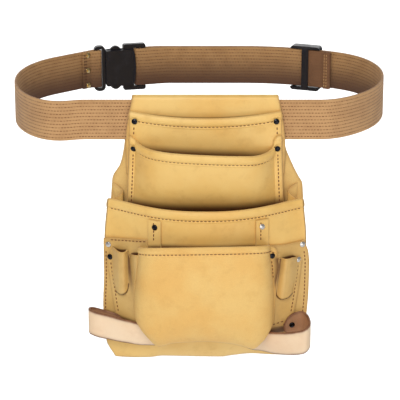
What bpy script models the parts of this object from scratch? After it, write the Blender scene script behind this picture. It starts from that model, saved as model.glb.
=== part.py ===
# Waist belt of webbing with a leather tool pouch, in metres, +Z up.
# The origin is the middle of the waist opening, at the belt's mid height.
# The pouch hangs at the front, towards -Y, and the buckle is at the back, towards +Y.

import math

import bmesh
import bpy
from mathutils import Matrix, Vector

# Clearances
GAP = 0.0003
LAYER_GAP = 0.0008
STRAP_GAP = 0.0006
HOLE_CLEAR = 0.0004
RIVET_SEAT = 0.0008

# Webbing
STRAP_WIDTH = 0.050
STRAP_THICK = 0.003

# Plan of the belt loop
LOOP_HALF_WIDTH = 0.2305
LOOP_DEPTH = 0.267
FRONT_RUN_RIGHT = 0.145
RIGHT_CORNER_X = 0.1935
RIGHT_CORNER_IN = 0.0275
RIGHT_CORNER_HEADING = math.radians(47.0)
RIGHT_SIDE_Y = -0.004
BACK_ARC_X = 0.0555
BACK_ARC_RADIUS = 0.250
BACK_ARC_ANGLE = math.radians(30.0)
BUCKLE_BEND_X = -0.052
BUCKLE_BEND_RADIUS = 0.060
BUCKLE_TILT = math.radians(13.0)
SOCKET_STRAP_RUN = 0.0185
INNER_JOIN_RUN = 0.014
END_LENGTH = 0.062
END_HEADING = math.radians(40.0)
HINGE_SLIT = 0.0009
HINGE_STRAIGHT = 0.004
LEFT_BOW_X = -0.168
LEFT_BOW_OUT = 0.006
LEFT_BOW_HEADING = math.radians(182.0)
LEFT_CORNER_X = -0.2115
LEFT_CORNER_IN = 0.026
LEFT_CORNER_HEADING = math.radians(120.0)
LEFT_SIDE_Y = -0.028

# Buckle, measured along its axis from the plug's bar towards the socket
BAR_HALF = 0.0025
BAR_RADIUS = 0.0021
BAR_SLACK = 0.0004
BAR_ROOT = 0.0020
BAR_SIDES = 12
FRAME_HALF_HEIGHT = 0.0305
FRAME_CORNER = 0.006
FRAME_DEPTH = 0.007
STRAP_SLOT_CLEAR = 0.0012
PLUG_SLOT = 0.0055
PLUG_BASE = 0.0045
SPINE_HALF = 0.0042
SPINE_HEAD_HALF = 0.0075
SPINE_HEAD = 0.0045
SPINE_LENGTH = 0.0285
SPINE_DEPTH = 0.0040
SOCKET_LENGTH = 0.0375
SOCKET_HALF_HEIGHT = 0.0242
SOCKET_STRAP_CLEAR = 0.0007
SOCKET_BAR_PITCH = 0.0075
SOCKET_SIDE_WALL = 0.0033
SOCKET_DEPTH = 0.0125
SOCKET_CAVITY_DEPTH = 0.008
SOCKET_SHOULDER = 0.0026
SOCKET_RAIL_HALF = 0.0312
SOCKET_RAIL_START = 0.0235
SOCKET_CORNER = 0.003
WINDOW_LENGTH = 0.0200
CAVITY_LENGTH = 0.0325
PRONG_DEPTH = 0.0042
PRONG_ARM = 0.0042
PRONG_ROOT_GAP = 0.0006
PRONG_PAD_HEIGHT = 0.0295
PRONG_PLAY = 0.0030
PRONG_PAD_LENGTH = 0.0160
PRONG_INNER = 0.0130

# Strap end folded round the plug's bar
FOLD_LENGTH = 0.021
FOLD_MEET = 0.009
FOLD_RIVET_IN = 0.0135
FOLD_RIVET_SPACING = 0.0203

# Slider
SLIDER_ANGLE = math.radians(20.0)
SLIDER_LENGTH = 0.040
SLIDER_HALF_HEIGHT = 0.0298
SLIDER_CORNER = 0.004
SLIDER_BAR = 0.0088
SLIDER_END_BAR = 0.0045
SLIDER_BAR_DEPTH = 0.0026
SLIDER_CLEAR = 0.0008
TAIL_PAST_SLIDER = 0.013
TAIL_HEM = 0.006

# Pouch, measured from its own middle line, the belt's mid height and the back panel's front face
POUCH_X = 0.0066
LEATHER = 0.0025
SOFT_LEATHER = 0.0018
TUNNEL_BACK_CLEAR = 0.0005
TUNNEL_FRONT_CLEAR = 0.0032
FOLD_TOP = 0.0315
FLAP_FREE = -0.028
FLAP_SEWN = -0.060
FLAP_END = -0.068
PANEL_TOP_HALF = 0.086
PANEL_BELT_HALF = 0.095
PANEL_BELT_LEVEL = -0.022
PANEL_WAIST_HALF = 0.1005
PANEL_WAIST_LEVEL = -0.050
PANEL_FLARE_HALF = 0.1145
PANEL_FLARE_LEVEL = -0.077
PANEL_LOW_HALF = 0.119
PANEL_LOW_LEVEL = -0.281
PANEL_FOOT_HALF = 0.109
POUCH_FOOT = -0.304

# Upper flat pocket
UPPER_RIM = 0.012
UPPER_RIM_SAG = 0.006
UPPER_FOOT = -0.092
UPPER_HALF_TOP = 0.090
UPPER_HALF_FOOT = 0.094
UPPER_BULGE = 0.008
UPPER_SQUARE = 2.5

# Middle pocket
MIDDLE_RIM = -0.019
MIDDLE_RIM_SAG = 0.0145
MIDDLE_FOOT = -0.125
MIDDLE_HALF_TOP = 0.0905
MIDDLE_HALF_FOOT = 0.0955
MIDDLE_FLANGE_SHARE = 0.094
MIDDLE_BULGE = 0.030
MIDDLE_SQUARE = 4.5
MIDDLE_FALL = 3.0

# Main pouch
MAIN_RIM = -0.0975
MAIN_RIM_SAG = 0.0015
MAIN_HALF_TOP = 0.118
MAIN_HALF_WIDE = 0.1225
MAIN_WIDE_LEVEL = -0.150
MAIN_LOW_LEVEL = -0.281
MAIN_FOOT_HALF = 0.110
MAIN_SIDE_DEPTH = 0.012
MAIN_BULGE = 0.043
MAIN_SQUARE = 2.5
MAIN_SOFT = 1.5
MAIN_FALL = 3.2
MAIN_SIDE_FALL = 8.0
GUSSET_RISE = 0.0145
GUSSET_FOOT = -0.240
GUSSET_TOP_SEAM = 0.0055
GUSSET_TOP_FOLD = 0.0105
GUSSET_TOP_DEPTH = 0.036
GUSSET_SEAM = 0.0165
GUSSET_FOLD = 0.0045

# Tabs at the back of the centre pouch's mouth
TAB_WIDTH = 0.0145
TAB_LEFT_IN = 0.0613
TAB_RIGHT_IN = 0.0543
TAB_TOP = -0.1095
TAB_FOOT = -0.150

# Tool panels and tool tubes
TOOL_OUTER_TOP = -0.146
TOOL_INNER_TOP = -0.1385
TOOL_FOOT = -0.267
TOOL_LEFT_IN = 0.0523
TOOL_RIGHT_IN = 0.0458
TOOL_OVERHANG = 0.003
TUBE_TAPER = 0.25
TUBE_FLANGE = 0.0076
TUBE_FLANGE_DROP = 0.0125
TUBE_LEFT_TOP = -0.1505
TUBE_OUTER_IN = 0.0183
TUBE_OUTER_HALF = 0.0086
TUBE_OUTER_LIFT = 0.0150
TUBE_OUTER_FOOT = -0.230
TUBE_INNER_IN = 0.0353
TUBE_INNER_HALF = 0.0060
TUBE_INNER_LIFT = 0.0110
TUBE_INNER_FOOT = -0.188
TUBE_RIGHT_TOP = -0.157
TUBE_RIGHT_IN = 0.0210
TUBE_RIGHT_HALF = 0.0085
TUBE_RIGHT_LIFT = 0.0150
TUBE_RIGHT_FOOT = -0.236
TUBE_FOOT_LIFT = 0.0050

# Centre pouch
CENTRE_RIM = -0.139
CENTRE_RIM_TILT = 0.0035
CENTRE_LEFT_TOP_IN = 0.0440
CENTRE_LEFT_LEVEL = -0.190
CENTRE_LEFT_WIDE_IN = 0.0375
CENTRE_RIGHT_TOP_IN = 0.0479
CENTRE_RIGHT_WIDE_IN = 0.0411
CENTRE_WIDE_LEVEL = -0.213
CENTRE_CHAMFER_LEVEL = -0.238
CENTRE_FOOT = -0.264
CENTRE_FOOT_IN = 0.0645
CENTRE_FLANGE = 0.0095
CENTRE_FLANGE_LOW = 0.003
CENTRE_RIM_LIFT = 0.016
CENTRE_MID_LIFT = 0.027
CENTRE_CHAMFER_LIFT = 0.022
CENTRE_FOOT_LIFT = 0.004
CENTRE_ROUND = 0.55

# Hammer strap
HAMMER_WIDTH = 0.030
HAMMER_THICK = 0.003
HAMMER_LEFT_OUT_Z = -0.2515
HAMMER_LEFT_JOIN_Z = -0.2640
HAMMER_CENTRE_Z = -0.2620
HAMMER_CENTRE_HALF = 0.035
HAMMER_RIGHT_JOIN_Z = -0.2775
HAMMER_RIGHT_OUT_Z = -0.2675
HAMMER_LEFT_TAB_IN = 0.0235
HAMMER_LEFT_PAST = 0.0190
HAMMER_LEFT_LIFT = 0.024
HAMMER_LEFT_RISE = 0.003
HAMMER_LEFT_JOIN_IN = 0.0445
HAMMER_RIGHT_TAB_IN = 0.0245
HAMMER_RIGHT_PAST = 0.0050
HAMMER_RIGHT_LIFT = 0.034
HAMMER_RIGHT_RISE = 0.014
HAMMER_RIGHT_JOIN_IN = 0.0525
HAMMER_LEFT_MID_LIFT = 0.0167
HAMMER_RIGHT_MID_LIFT = 0.0210
HAMMER_COVER = 0.012

# Rivets
RIVET_CAP = 0.0036
RIVET_CAP_HEIGHT = 0.0020
RIVET_POST = 0.0017
RIVET_TAIL = 0.0028
RIVET_TAIL_HEIGHT = 0.0008
RIVET_CROWN = 0.00223
RIVET_CROWN_HEIGHT = 0.00168
RIVET_EDGE_HEIGHT = 0.0005
RIVET_SIDES = 10
CUTTER_EXTRA = 0.004

# Where the pouch's rivets stand
UPPER_RIVET_IN = 0.0050
UPPER_RIVET_Z = 0.001
MIDDLE_RIVET_IN = 0.0042
MIDDLE_RIVET_Z = -0.0325
TAB_RIVET_Z = -0.1215
TOOL_RIVET_IN = 0.0068
TOOL_RIVET_DROP = 0.0076
TUBE_RIVET_IN = 0.0038
TUBE_LEFT_RIVET_Z = -0.1685
TUBE_RIGHT_RIVET_Z = -0.1715
CENTRE_RIVET_Z = -0.1600
CENTRE_RIVET_IN = 0.0040
HAMMER_RIVET_IN = 0.0090

# How finely curves are drawn and slopes are measured
TURN_STEPS = 8
PAD_STEPS = 6
HAMMER_STEPS = 5
RIVET_ROUNDS = 6
SLOPE_STEP = 0.0005
SLOPE_LIMIT = 2.0
SHARP_ANGLE = math.radians(40.0)

# Colours: red, green, blue, roughness, metallic
LEATHER_BUFF = (0.72, 0.46, 0.15, 0.55, 0.0)
LEATHER_SUEDE = (0.78, 0.52, 0.20, 0.80, 0.0)
LEATHER_PALE = (0.85, 0.64, 0.42, 0.60, 0.0)
WEBBING_TAN = (0.55, 0.32, 0.13, 0.90, 0.0)
PLASTIC_BLACK = (0.018, 0.018, 0.020, 0.45, 0.0)
METAL_DARK = (0.03, 0.03, 0.035, 0.30, 0.9)
METAL_BRIGHT = (0.70, 0.68, 0.66, 0.30, 1.0)
METAL_BRASS = (0.45, 0.33, 0.16, 0.35, 1.0)

# Worked out from the sizes above
FRONT_Y = -LOOP_DEPTH / 2
BACK_Y = LOOP_DEPTH / 2
STRAP_HALF = STRAP_WIDTH / 2
STRAP_SIDE = STRAP_THICK / 2
STRAP_SLOT_HALF = STRAP_HALF + STRAP_SLOT_CLEAR
LAYER_STEP = STRAP_THICK + STRAP_GAP
BAR_WRAP = BAR_RADIUS + BAR_SLACK + STRAP_SIDE
BACK_ARC_CENTRE = Vector((BACK_ARC_X, BACK_Y - BACK_ARC_RADIUS))
PANEL_FRONT_Y = FRONT_Y + STRAP_SIDE + TUNNEL_BACK_CLEAR
FLAP_BACK = TUNNEL_BACK_CLEAR + STRAP_THICK + TUNNEL_FRONT_CLEAR
PLUG_FACE = BAR_HALF + PLUG_SLOT + PLUG_BASE
PLUG_LOOP = BAR_HALF + PLUG_SLOT - STRAP_SIDE - GAP
MOUTH = PLUG_FACE + GAP
BAR_SPACING = MOUTH + SOCKET_LENGTH + SOCKET_STRAP_CLEAR + STRAP_SIDE + BAR_WRAP
CAVITY_HALF = SOCKET_HALF_HEIGHT - SOCKET_SIDE_WALL
TAB_LEFT_X = TAB_LEFT_IN - MAIN_HALF_WIDE
TAB_RIGHT_X = MAIN_HALF_WIDE - TAB_RIGHT_IN
TOOL_LEFT_INNER = TOOL_LEFT_IN - MAIN_HALF_WIDE
TOOL_RIGHT_INNER = MAIN_HALF_WIDE - TOOL_RIGHT_IN
CENTRE_LEFT_TOP = CENTRE_LEFT_TOP_IN - MAIN_HALF_WIDE
CENTRE_LEFT_WIDE = CENTRE_LEFT_WIDE_IN - MAIN_HALF_WIDE
CENTRE_RIGHT_TOP = MAIN_HALF_WIDE - CENTRE_RIGHT_TOP_IN
CENTRE_RIGHT_WIDE = MAIN_HALF_WIDE - CENTRE_RIGHT_WIDE_IN
CENTRE_FOOT_HALF = MAIN_HALF_WIDE - CENTRE_FOOT_IN
TUBE_OUTER_X = TUBE_OUTER_IN - MAIN_HALF_WIDE
TUBE_INNER_X = TUBE_INNER_IN - MAIN_HALF_WIDE
TUBE_RIGHT_X = MAIN_HALF_WIDE - TUBE_RIGHT_IN
HAMMER_LEFT_TAB = HAMMER_LEFT_TAB_IN - MAIN_HALF_WIDE
HAMMER_LEFT_OUT = -MAIN_HALF_WIDE - HAMMER_LEFT_PAST
HAMMER_RIGHT_TAB = MAIN_HALF_WIDE - HAMMER_RIGHT_TAB_IN
HAMMER_RIGHT_OUT = MAIN_HALF_WIDE + HAMMER_RIGHT_PAST
HAMMER_LEFT_JOIN = HAMMER_LEFT_JOIN_IN - MAIN_HALF_WIDE
HAMMER_RIGHT_JOIN = MAIN_HALF_WIDE - HAMMER_RIGHT_JOIN_IN


# Scene helpers

def clear_scene():
    for item in list(bpy.data.objects):
        bpy.data.objects.remove(item, do_unlink=True)


def make_material(name, finish):
    red, green, blue, roughness, metallic = finish
    material = bpy.data.materials.new(name)
    material.use_nodes = True
    shader = material.node_tree.nodes["Principled BSDF"]
    shader.inputs["Base Color"].default_value = (red, green, blue, 1.0)
    shader.inputs["Roughness"].default_value = roughness
    shader.inputs["Metallic"].default_value = metallic
    material.diffuse_color = (red, green, blue, 1.0)
    return material


def axis_place(axis):
    place = Vector((0.0, 0.0, 0.0))
    while axis is not None:
        place += axis.location
        axis = axis.parent
    return place


def make_axis(name, place, parent=None):
    axis = bpy.data.objects.new(name, None)
    bpy.context.collection.objects.link(axis)
    axis.location = Vector(place) - axis_place(parent)
    axis.parent = parent
    return axis


def add_object(name, shape, finish, axis):
    bmesh.ops.recalc_face_normals(shape, faces=shape.faces)
    mesh = bpy.data.meshes.new(name)
    shape.to_mesh(mesh)
    shape.free()
    mesh.shade_smooth()
    mesh.set_sharp_from_angle(angle=SHARP_ANGLE)
    mesh.materials.append(make_material(name + "_finish", finish))
    mesh.transform(Matrix.Translation(-axis_place(axis)))
    item = bpy.data.objects.new(name, mesh)
    bpy.context.collection.objects.link(item)
    item.parent = axis
    return item


def as_cutter(item):
    item.hide_render = True
    item.display_type = "WIRE"
    return item


def combine(item, tool, operation):
    step = item.modifiers.new(operation.lower() + "_" + tool.name, "BOOLEAN")
    step.operation = operation
    step.solver = "EXACT"
    step.object = tool


# Shape helpers

def mix(low, high, share):
    return low + (high - low) * share


def even(count):
    return [step / count for step in range(count + 1)]


def ease(share):
    share = min(max(share, 0.0), 1.0)
    return share * share * (3.0 - 2.0 * share)


def through_stations(value, stations):
    # Stations run from high to low; between two of them the size changes smoothly.
    for (level_a, size_a), (level_b, size_b) in zip(stations, stations[1:]):
        if value >= level_b:
            return mix(size_a, size_b, ease((level_a - value) / (level_a - level_b)))
    return stations[-1][1]


def direction(angle):
    return Vector((math.cos(angle), math.sin(angle)))


def bend(start, start_angle, end, end_angle, steps):
    # Points of a smooth curve between two headings, without its first point.
    turn = abs(end_angle - start_angle)
    reach = (end - start).length * 2.0 / 3.0 * math.tan(turn / 4.0) / math.sin(turn / 2.0)
    first = start + direction(start_angle) * reach
    last = end - direction(end_angle) * reach
    points = []
    for step in range(1, steps + 1):
        t = step / steps
        s = 1.0 - t
        points.append(s ** 3 * start + 3 * s * s * t * first + 3 * s * t * t * last + t ** 3 * end)
    return points


def smooth_line(stations, steps):
    # Catmull-Rom curve through the stations, which may hold any number of values.
    ends = [stations[0]] + list(stations) + [stations[-1]]
    points = []
    for a, b, c, d in zip(ends, ends[1:], ends[2:], ends[3:]):
        for step in range(steps):
            t = step / steps
            points.append(tuple(
                0.5 * (2 * q + (r - p) * t + (2 * p - 5 * q + 4 * r - s) * t * t
                       + (3 * q - p - 3 * r + s) * t ** 3)
                for p, q, r, s in zip(a, b, c, d)))
    points.append(tuple(stations[-1]))
    return points


def offset_line(points, distance):
    # The line moved to its left by a distance, with mitred corners.
    moved = []
    for index, point in enumerate(points):
        before = points[max(index - 1, 0)]
        after = points[min(index + 1, len(points) - 1)]
        arrive = (point - before).normalized() if index > 0 else (after - point).normalized()
        leave = (after - point).normalized() if index < len(points) - 1 else arrive
        side = Vector((-(arrive.y + leave.y), arrive.x + leave.x)).normalized()
        stretch = max(side.dot(Vector((-arrive.y, arrive.x))), 0.5)
        moved.append(point + side * (distance / stretch))
    return moved


def sheet_shape(front, back):
    # A closed sheet between two grids of points of the same size.
    shape = bmesh.new()
    fronts = [[shape.verts.new(point) for point in row] for row in front]
    backs = [[shape.verts.new(point) for point in row] for row in back]
    rows = len(fronts)
    columns = len(fronts[0])
    for i in range(rows - 1):
        for j in range(columns - 1):
            for grid in (fronts, backs):
                shape.faces.new((grid[i][j], grid[i][j + 1], grid[i + 1][j + 1], grid[i + 1][j]))
    for i in range(rows - 1):
        for j in (0, columns - 1):
            shape.faces.new((fronts[i][j], fronts[i + 1][j], backs[i + 1][j], backs[i][j]))
    for j in range(columns - 1):
        for i in (0, rows - 1):
            shape.faces.new((fronts[i][j], fronts[i][j + 1], backs[i][j + 1], backs[i][j]))
    return shape


def strap_shape(line):
    # Webbing standing on edge along a line in plan.
    left = offset_line(line, STRAP_SIDE)
    right = offset_line(line, -STRAP_SIDE)
    levels = (-STRAP_HALF, STRAP_HALF)
    front = [[(point.x, point.y, level) for point in left] for level in levels]
    back = [[(point.x, point.y, level) for point in right] for level in levels]
    return sheet_shape(front, back)


def rounded_outline(corners, steps=4):
    # Corners are (x, y, radius); a round corner is an arc between its two sides.
    outline = []
    count = len(corners)
    for index, (x, y, radius) in enumerate(corners):
        here = Vector((x, y))
        before = (Vector(corners[index - 1][:2]) - here).normalized()
        after = (Vector(corners[(index + 1) % count][:2]) - here).normalized()
        half = before.angle(after) / 2.0
        middle = (before + after).normalized()
        centre = here + middle * (radius / math.sin(half))
        start = here + before * (radius / math.tan(half)) - centre
        end = here + after * (radius / math.tan(half)) - centre
        if radius == 0.0:
            outline.append(here)
            continue
        sweep = start.angle_signed(end)
        for step in range(steps + 1):
            arm = start.copy()
            arm.rotate(Matrix.Rotation(-sweep * step / steps, 2))
            outline.append(centre + arm)
    return outline


def prism_shape(outline, low, high, place):
    # An outline in the first two directions of a frame, between two depths in its third.
    shape = bmesh.new()
    lower = [shape.verts.new(place(point[0], point[1], low)) for point in outline]
    upper = [shape.verts.new(place(point[0], point[1], high)) for point in outline]
    shape.faces.new(lower)
    shape.faces.new(upper)
    for index in range(len(outline)):
        following = (index + 1) % len(outline)
        shape.faces.new((lower[index], lower[following], upper[following], upper[index]))
    return shape


def box_shape(first, second, third, place):
    outline = ((first[0], second[0]), (first[1], second[0]), (first[1], second[1]), (first[0], second[1]))
    return prism_shape(outline, third[0], third[1], place)


def box_outline(first_low, first_high, half, radius):
    return rounded_outline(((first_low, -half, radius), (first_high, -half, radius),
                            (first_high, half, radius), (first_low, half, radius)))


# Plan of the belt

def back_arc(angle, radius):
    return BACK_ARC_CENTRE + Vector((math.sin(angle), math.cos(angle))) * radius


def buckle_bend_end():
    centre = Vector((BUCKLE_BEND_X, BACK_Y - BUCKLE_BEND_RADIUS))
    return centre + Vector((-math.sin(BUCKLE_TILT), math.cos(BUCKLE_TILT))) * BUCKLE_BEND_RADIUS


BUCKLE_AXIS = direction(BUCKLE_TILT)
BUCKLE_OUT = Vector((-BUCKLE_AXIS.y, BUCKLE_AXIS.x))
SOCKET_BAR = buckle_bend_end() - BUCKLE_AXIS * SOCKET_STRAP_RUN - BUCKLE_OUT * BAR_WRAP
PLUG_BAR = SOCKET_BAR - BUCKLE_AXIS * BAR_SPACING
END_AXIS = direction(END_HEADING)
END_OUT = Vector((-END_AXIS.y, END_AXIS.x))
END_HINGE = PLUG_BAR + END_OUT * BAR_WRAP - END_AXIS * END_LENGTH
ARM_LENGTH = (END_HINGE.y - FRONT_Y) / BUCKLE_OUT.y
ARM_HINGE = END_HINGE - BUCKLE_OUT * ARM_LENGTH


def bar_wrap(bar, along, outward, reach):
    # The strap's turn round a bar, from its outer face to its inner face.
    points = []
    for step in range(TURN_STEPS + 1):
        angle = math.pi * step / TURN_STEPS
        points.append(bar + outward * (BAR_WRAP * math.cos(angle)) + along * (reach * math.sin(angle)))
    return points


def belt_line():
    corner = Vector((RIGHT_CORNER_X, FRONT_Y + RIGHT_CORNER_IN))
    side = Vector((LOOP_HALF_WIDTH, RIGHT_SIDE_Y))
    run_end = Vector((FRONT_RUN_RIGHT, FRONT_Y))
    arc_start = back_arc(BACK_ARC_ANGLE, BACK_ARC_RADIUS)
    line = [ARM_HINGE + Vector((HINGE_SLIT / 2, 0.0)), run_end]
    line += bend(run_end, 0.0, corner, RIGHT_CORNER_HEADING, 6)
    line += bend(corner, RIGHT_CORNER_HEADING, side, math.pi / 2, 7)
    line += bend(side, math.pi / 2, arc_start, math.pi - BACK_ARC_ANGLE, 9)
    for step in range(1, TURN_STEPS + 1):
        line.append(back_arc(BACK_ARC_ANGLE * (1 - step / TURN_STEPS), BACK_ARC_RADIUS))
    line.append(Vector((BUCKLE_BEND_X, BACK_Y)))
    line += bend(line[-1], math.pi, buckle_bend_end(), math.pi + BUCKLE_TILT, 3)
    line += bar_wrap(SOCKET_BAR, BUCKLE_AXIS, BUCKLE_OUT, -BAR_WRAP)
    line.append(line[-1] + BUCKLE_AXIS * (SOCKET_BAR_PITCH + BAR_HALF))
    inner_start = Vector((BUCKLE_BEND_X + INNER_JOIN_RUN, BACK_Y - LAYER_STEP))
    line += bend(line[-1], BUCKLE_TILT, inner_start, 0.0, 4)
    tail = SLIDER_ANGLE + (SLIDER_LENGTH / 2 + TAIL_PAST_SLIDER) / BACK_ARC_RADIUS
    inner_radius = BACK_ARC_RADIUS - LAYER_STEP
    line += [back_arc(tail * share, inner_radius) for share in even(TURN_STEPS)]
    turn = LAYER_STEP / 2
    along = Vector((math.cos(tail), -math.sin(tail)))
    inward = -Vector((math.sin(tail), math.cos(tail)))
    for step in range(1, TURN_STEPS + 1):
        angle = math.pi * step / TURN_STEPS
        line.append(back_arc(tail, inner_radius) + along * (turn * math.sin(angle))
                    + inward * (turn * (1 - math.cos(angle))))
    line.append(line[-1] - along * TAIL_HEM)
    return line


def left_arm_line():
    bow = Vector((LEFT_BOW_X, FRONT_Y - LEFT_BOW_OUT))
    corner = Vector((LEFT_CORNER_X, FRONT_Y + LEFT_CORNER_IN))
    side = Vector((-LOOP_HALF_WIDTH, LEFT_SIDE_Y))
    start = ARM_HINGE - Vector((HINGE_SLIT / 2, 0.0))
    end = END_HINGE - END_AXIS * (HINGE_SLIT / 2)
    straight = end - END_AXIS * HINGE_STRAIGHT
    line = [start, start - Vector((HINGE_STRAIGHT, 0.0))]
    line += bend(line[-1], math.pi, bow, LEFT_BOW_HEADING, 3)
    line += bend(bow, LEFT_BOW_HEADING, corner, LEFT_CORNER_HEADING, 7)
    line += bend(corner, LEFT_CORNER_HEADING, side, math.pi / 2, 5)
    line += bend(side, math.pi / 2, straight, END_HEADING, 8)
    line.append(end)
    return line


def left_end_line():
    start = END_HINGE + END_AXIS * (HINGE_SLIT / 2)
    line = [start]
    line += bar_wrap(PLUG_BAR, END_AXIS, END_OUT, PLUG_LOOP)
    inner = BAR_WRAP - LAYER_STEP
    line += bend(line[-1], END_HEADING + math.pi,
                 PLUG_BAR - END_AXIS * FOLD_MEET + END_OUT * inner, END_HEADING + math.pi + 1e-6, 4)
    line.append(PLUG_BAR - END_AXIS * FOLD_LENGTH + END_OUT * inner)
    return line


# Belt pieces

def in_buckle(along, height, depth):
    point = PLUG_BAR + BUCKLE_AXIS * along + BUCKLE_OUT * depth
    return (point.x, point.y, height)


def in_slider(along, height, depth):
    outward = Vector((math.sin(SLIDER_ANGLE), math.cos(SLIDER_ANGLE)))
    sideways = Vector((outward.y, -outward.x))
    point = BACK_ARC_CENTRE + outward * (BACK_ARC_RADIUS + depth) + sideways * along
    return (point.x, point.y, height)


def cut_box(item, name, first, second, third, place):
    shape = box_shape(first, second, third, place)
    cutter = add_object(item.name + "_" + name, shape, PLASTIC_BLACK, item.parent)
    combine(item, as_cutter(cutter), "DIFFERENCE")


def add_bar(item, bar):
    # The strap's bar is round and thinner than its frame, so that the strap turns round it freely.
    def place(along, depth, height):
        return in_buckle(bar + along, height, depth)
    outline = []
    for side in range(BAR_SIDES):
        angle = 2 * math.pi * (side + 0.5) / BAR_SIDES
        outline.append((BAR_RADIUS * math.cos(angle), BAR_RADIUS * math.sin(angle)))
    height = STRAP_SLOT_HALF + BAR_ROOT
    shape = prism_shape(outline, -height, height, place)
    tool = add_object(item.name + "_bar", shape, PLASTIC_BLACK, item.parent)
    combine(item, as_cutter(tool), "UNION")


def make_plug(axis):
    frame = box_outline(-BAR_HALF, PLUG_FACE, FRAME_HALF_HEIGHT, FRAME_CORNER)
    plug = add_object("buckle_plug", prism_shape(frame, -FRAME_DEPTH / 2, FRAME_DEPTH / 2, in_buckle),
                      PLASTIC_BLACK, axis)
    cut_box(plug, "strap_slot", (-2 * BAR_HALF, BAR_HALF + PLUG_SLOT), (-STRAP_SLOT_HALF, STRAP_SLOT_HALF),
            (-FRAME_DEPTH, FRAME_DEPTH), in_buckle)
    add_bar(plug, 0.0)
    head = PLUG_FACE + SPINE_LENGTH - SPINE_HEAD
    tip = PLUG_FACE + SPINE_LENGTH
    root = PLUG_FACE - PLUG_BASE / 2
    outline = ((root, -SPINE_HALF), (head, -SPINE_HALF), (head, -SPINE_HEAD_HALF), (tip, -SPINE_HEAD_HALF),
               (tip, SPINE_HEAD_HALF), (head, SPINE_HEAD_HALF), (head, SPINE_HALF), (root, SPINE_HALF))
    shape = prism_shape(outline, -SPINE_DEPTH / 2, SPINE_DEPTH / 2, in_buckle)
    spine = add_object("buckle_plug_spine", shape, PLASTIC_BLACK, axis)
    combine(plug, as_cutter(spine), "UNION")
    return plug


def make_socket():
    body_end = MOUTH + SOCKET_LENGTH
    outer_bar = BAR_SPACING + SOCKET_BAR_PITCH
    rail_end = outer_bar + BAR_HALF
    body = box_outline(MOUTH, body_end, SOCKET_HALF_HEIGHT, SOCKET_CORNER)
    socket = add_object("buckle_socket", prism_shape(body, -SOCKET_DEPTH / 2, SOCKET_DEPTH / 2, in_buckle),
                        PLASTIC_BLACK, None)
    rails = box_outline(MOUTH + SOCKET_RAIL_START, rail_end, SOCKET_RAIL_HALF, SOCKET_CORNER)
    shape = prism_shape(rails, -FRAME_DEPTH / 2, FRAME_DEPTH / 2, in_buckle)
    frame = add_object("buckle_socket_rails", shape, PLASTIC_BLACK, None)
    combine(socket, as_cutter(frame), "UNION")
    start = MOUTH - GAP
    near = MOUTH + SOCKET_SHOULDER
    far = near + WINDOW_LENGTH
    end = MOUTH + CAVITY_LENGTH
    beyond = SOCKET_RAIL_HALF + GAP
    upper = [(start, CAVITY_HALF), (near, CAVITY_HALF), (near, beyond), (far, beyond), (far, CAVITY_HALF),
             (end, CAVITY_HALF)]
    lower = [(along, -height) for along, height in reversed(upper)]
    depth = SOCKET_CAVITY_DEPTH / 2
    cavity = add_object("buckle_socket_cavity", prism_shape(upper + lower, -depth, depth, in_buckle),
                        PLASTIC_BLACK, None)
    combine(socket, as_cutter(cavity), "DIFFERENCE")
    slot = (body_end + GAP, rail_end + BAR_HALF)
    cut_box(socket, "strap_slot", slot, (-STRAP_SLOT_HALF, STRAP_SLOT_HALF),
            (-FRAME_DEPTH, FRAME_DEPTH), in_buckle)
    add_bar(socket, BAR_SPACING)
    add_bar(socket, outer_bar)


def prong_hinge(side):
    along = PLUG_FACE + SPINE_LENGTH - SPINE_HEAD / 2
    height = SPINE_HEAD_HALF + PRONG_ROOT_GAP + PRONG_ARM / 2
    return in_buckle(along, side * height, 0.0)


def make_prong(name, side, axis):
    root = PLUG_FACE + SPINE_LENGTH - SPINE_HEAD / 2
    root_low = SPINE_HEAD_HALF + PRONG_ROOT_GAP
    root_high = root_low + PRONG_ARM
    catch = MOUTH + SOCKET_SHOULDER + PRONG_PLAY
    pad_end = catch + PRONG_PAD_LENGTH
    pad_mid = (catch + pad_end) / 2
    nose = SPINE_HEAD / 2
    outline = [(root + nose, root_low), (root + nose, root_high - PRONG_ARM / 2), (root, root_high),
               (pad_end + PRONG_ROOT_GAP, CAVITY_HALF - PRONG_ARM / 2), (pad_end, SOCKET_HALF_HEIGHT)]
    for step in range(1, PAD_STEPS):
        along = mix(pad_end, catch, step / PAD_STEPS)
        swell = 1.0 - ((along - pad_mid) / (PRONG_PAD_LENGTH / 2)) ** 2
        outline.append((along, mix(SOCKET_HALF_HEIGHT, PRONG_PAD_HEIGHT, swell)))
    outline += [(catch, SOCKET_HALF_HEIGHT), (catch - PRONG_PLAY / 2, CAVITY_HALF),
                (catch - PRONG_PLAY / 2, PRONG_INNER), (root - SPINE_HEAD, root_low)]
    outline = [(along, side * height) for along, height in outline]
    shape = prism_shape(outline, -PRONG_DEPTH / 2, PRONG_DEPTH / 2, in_buckle)
    add_object(name, shape, PLASTIC_BLACK, axis)


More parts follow.
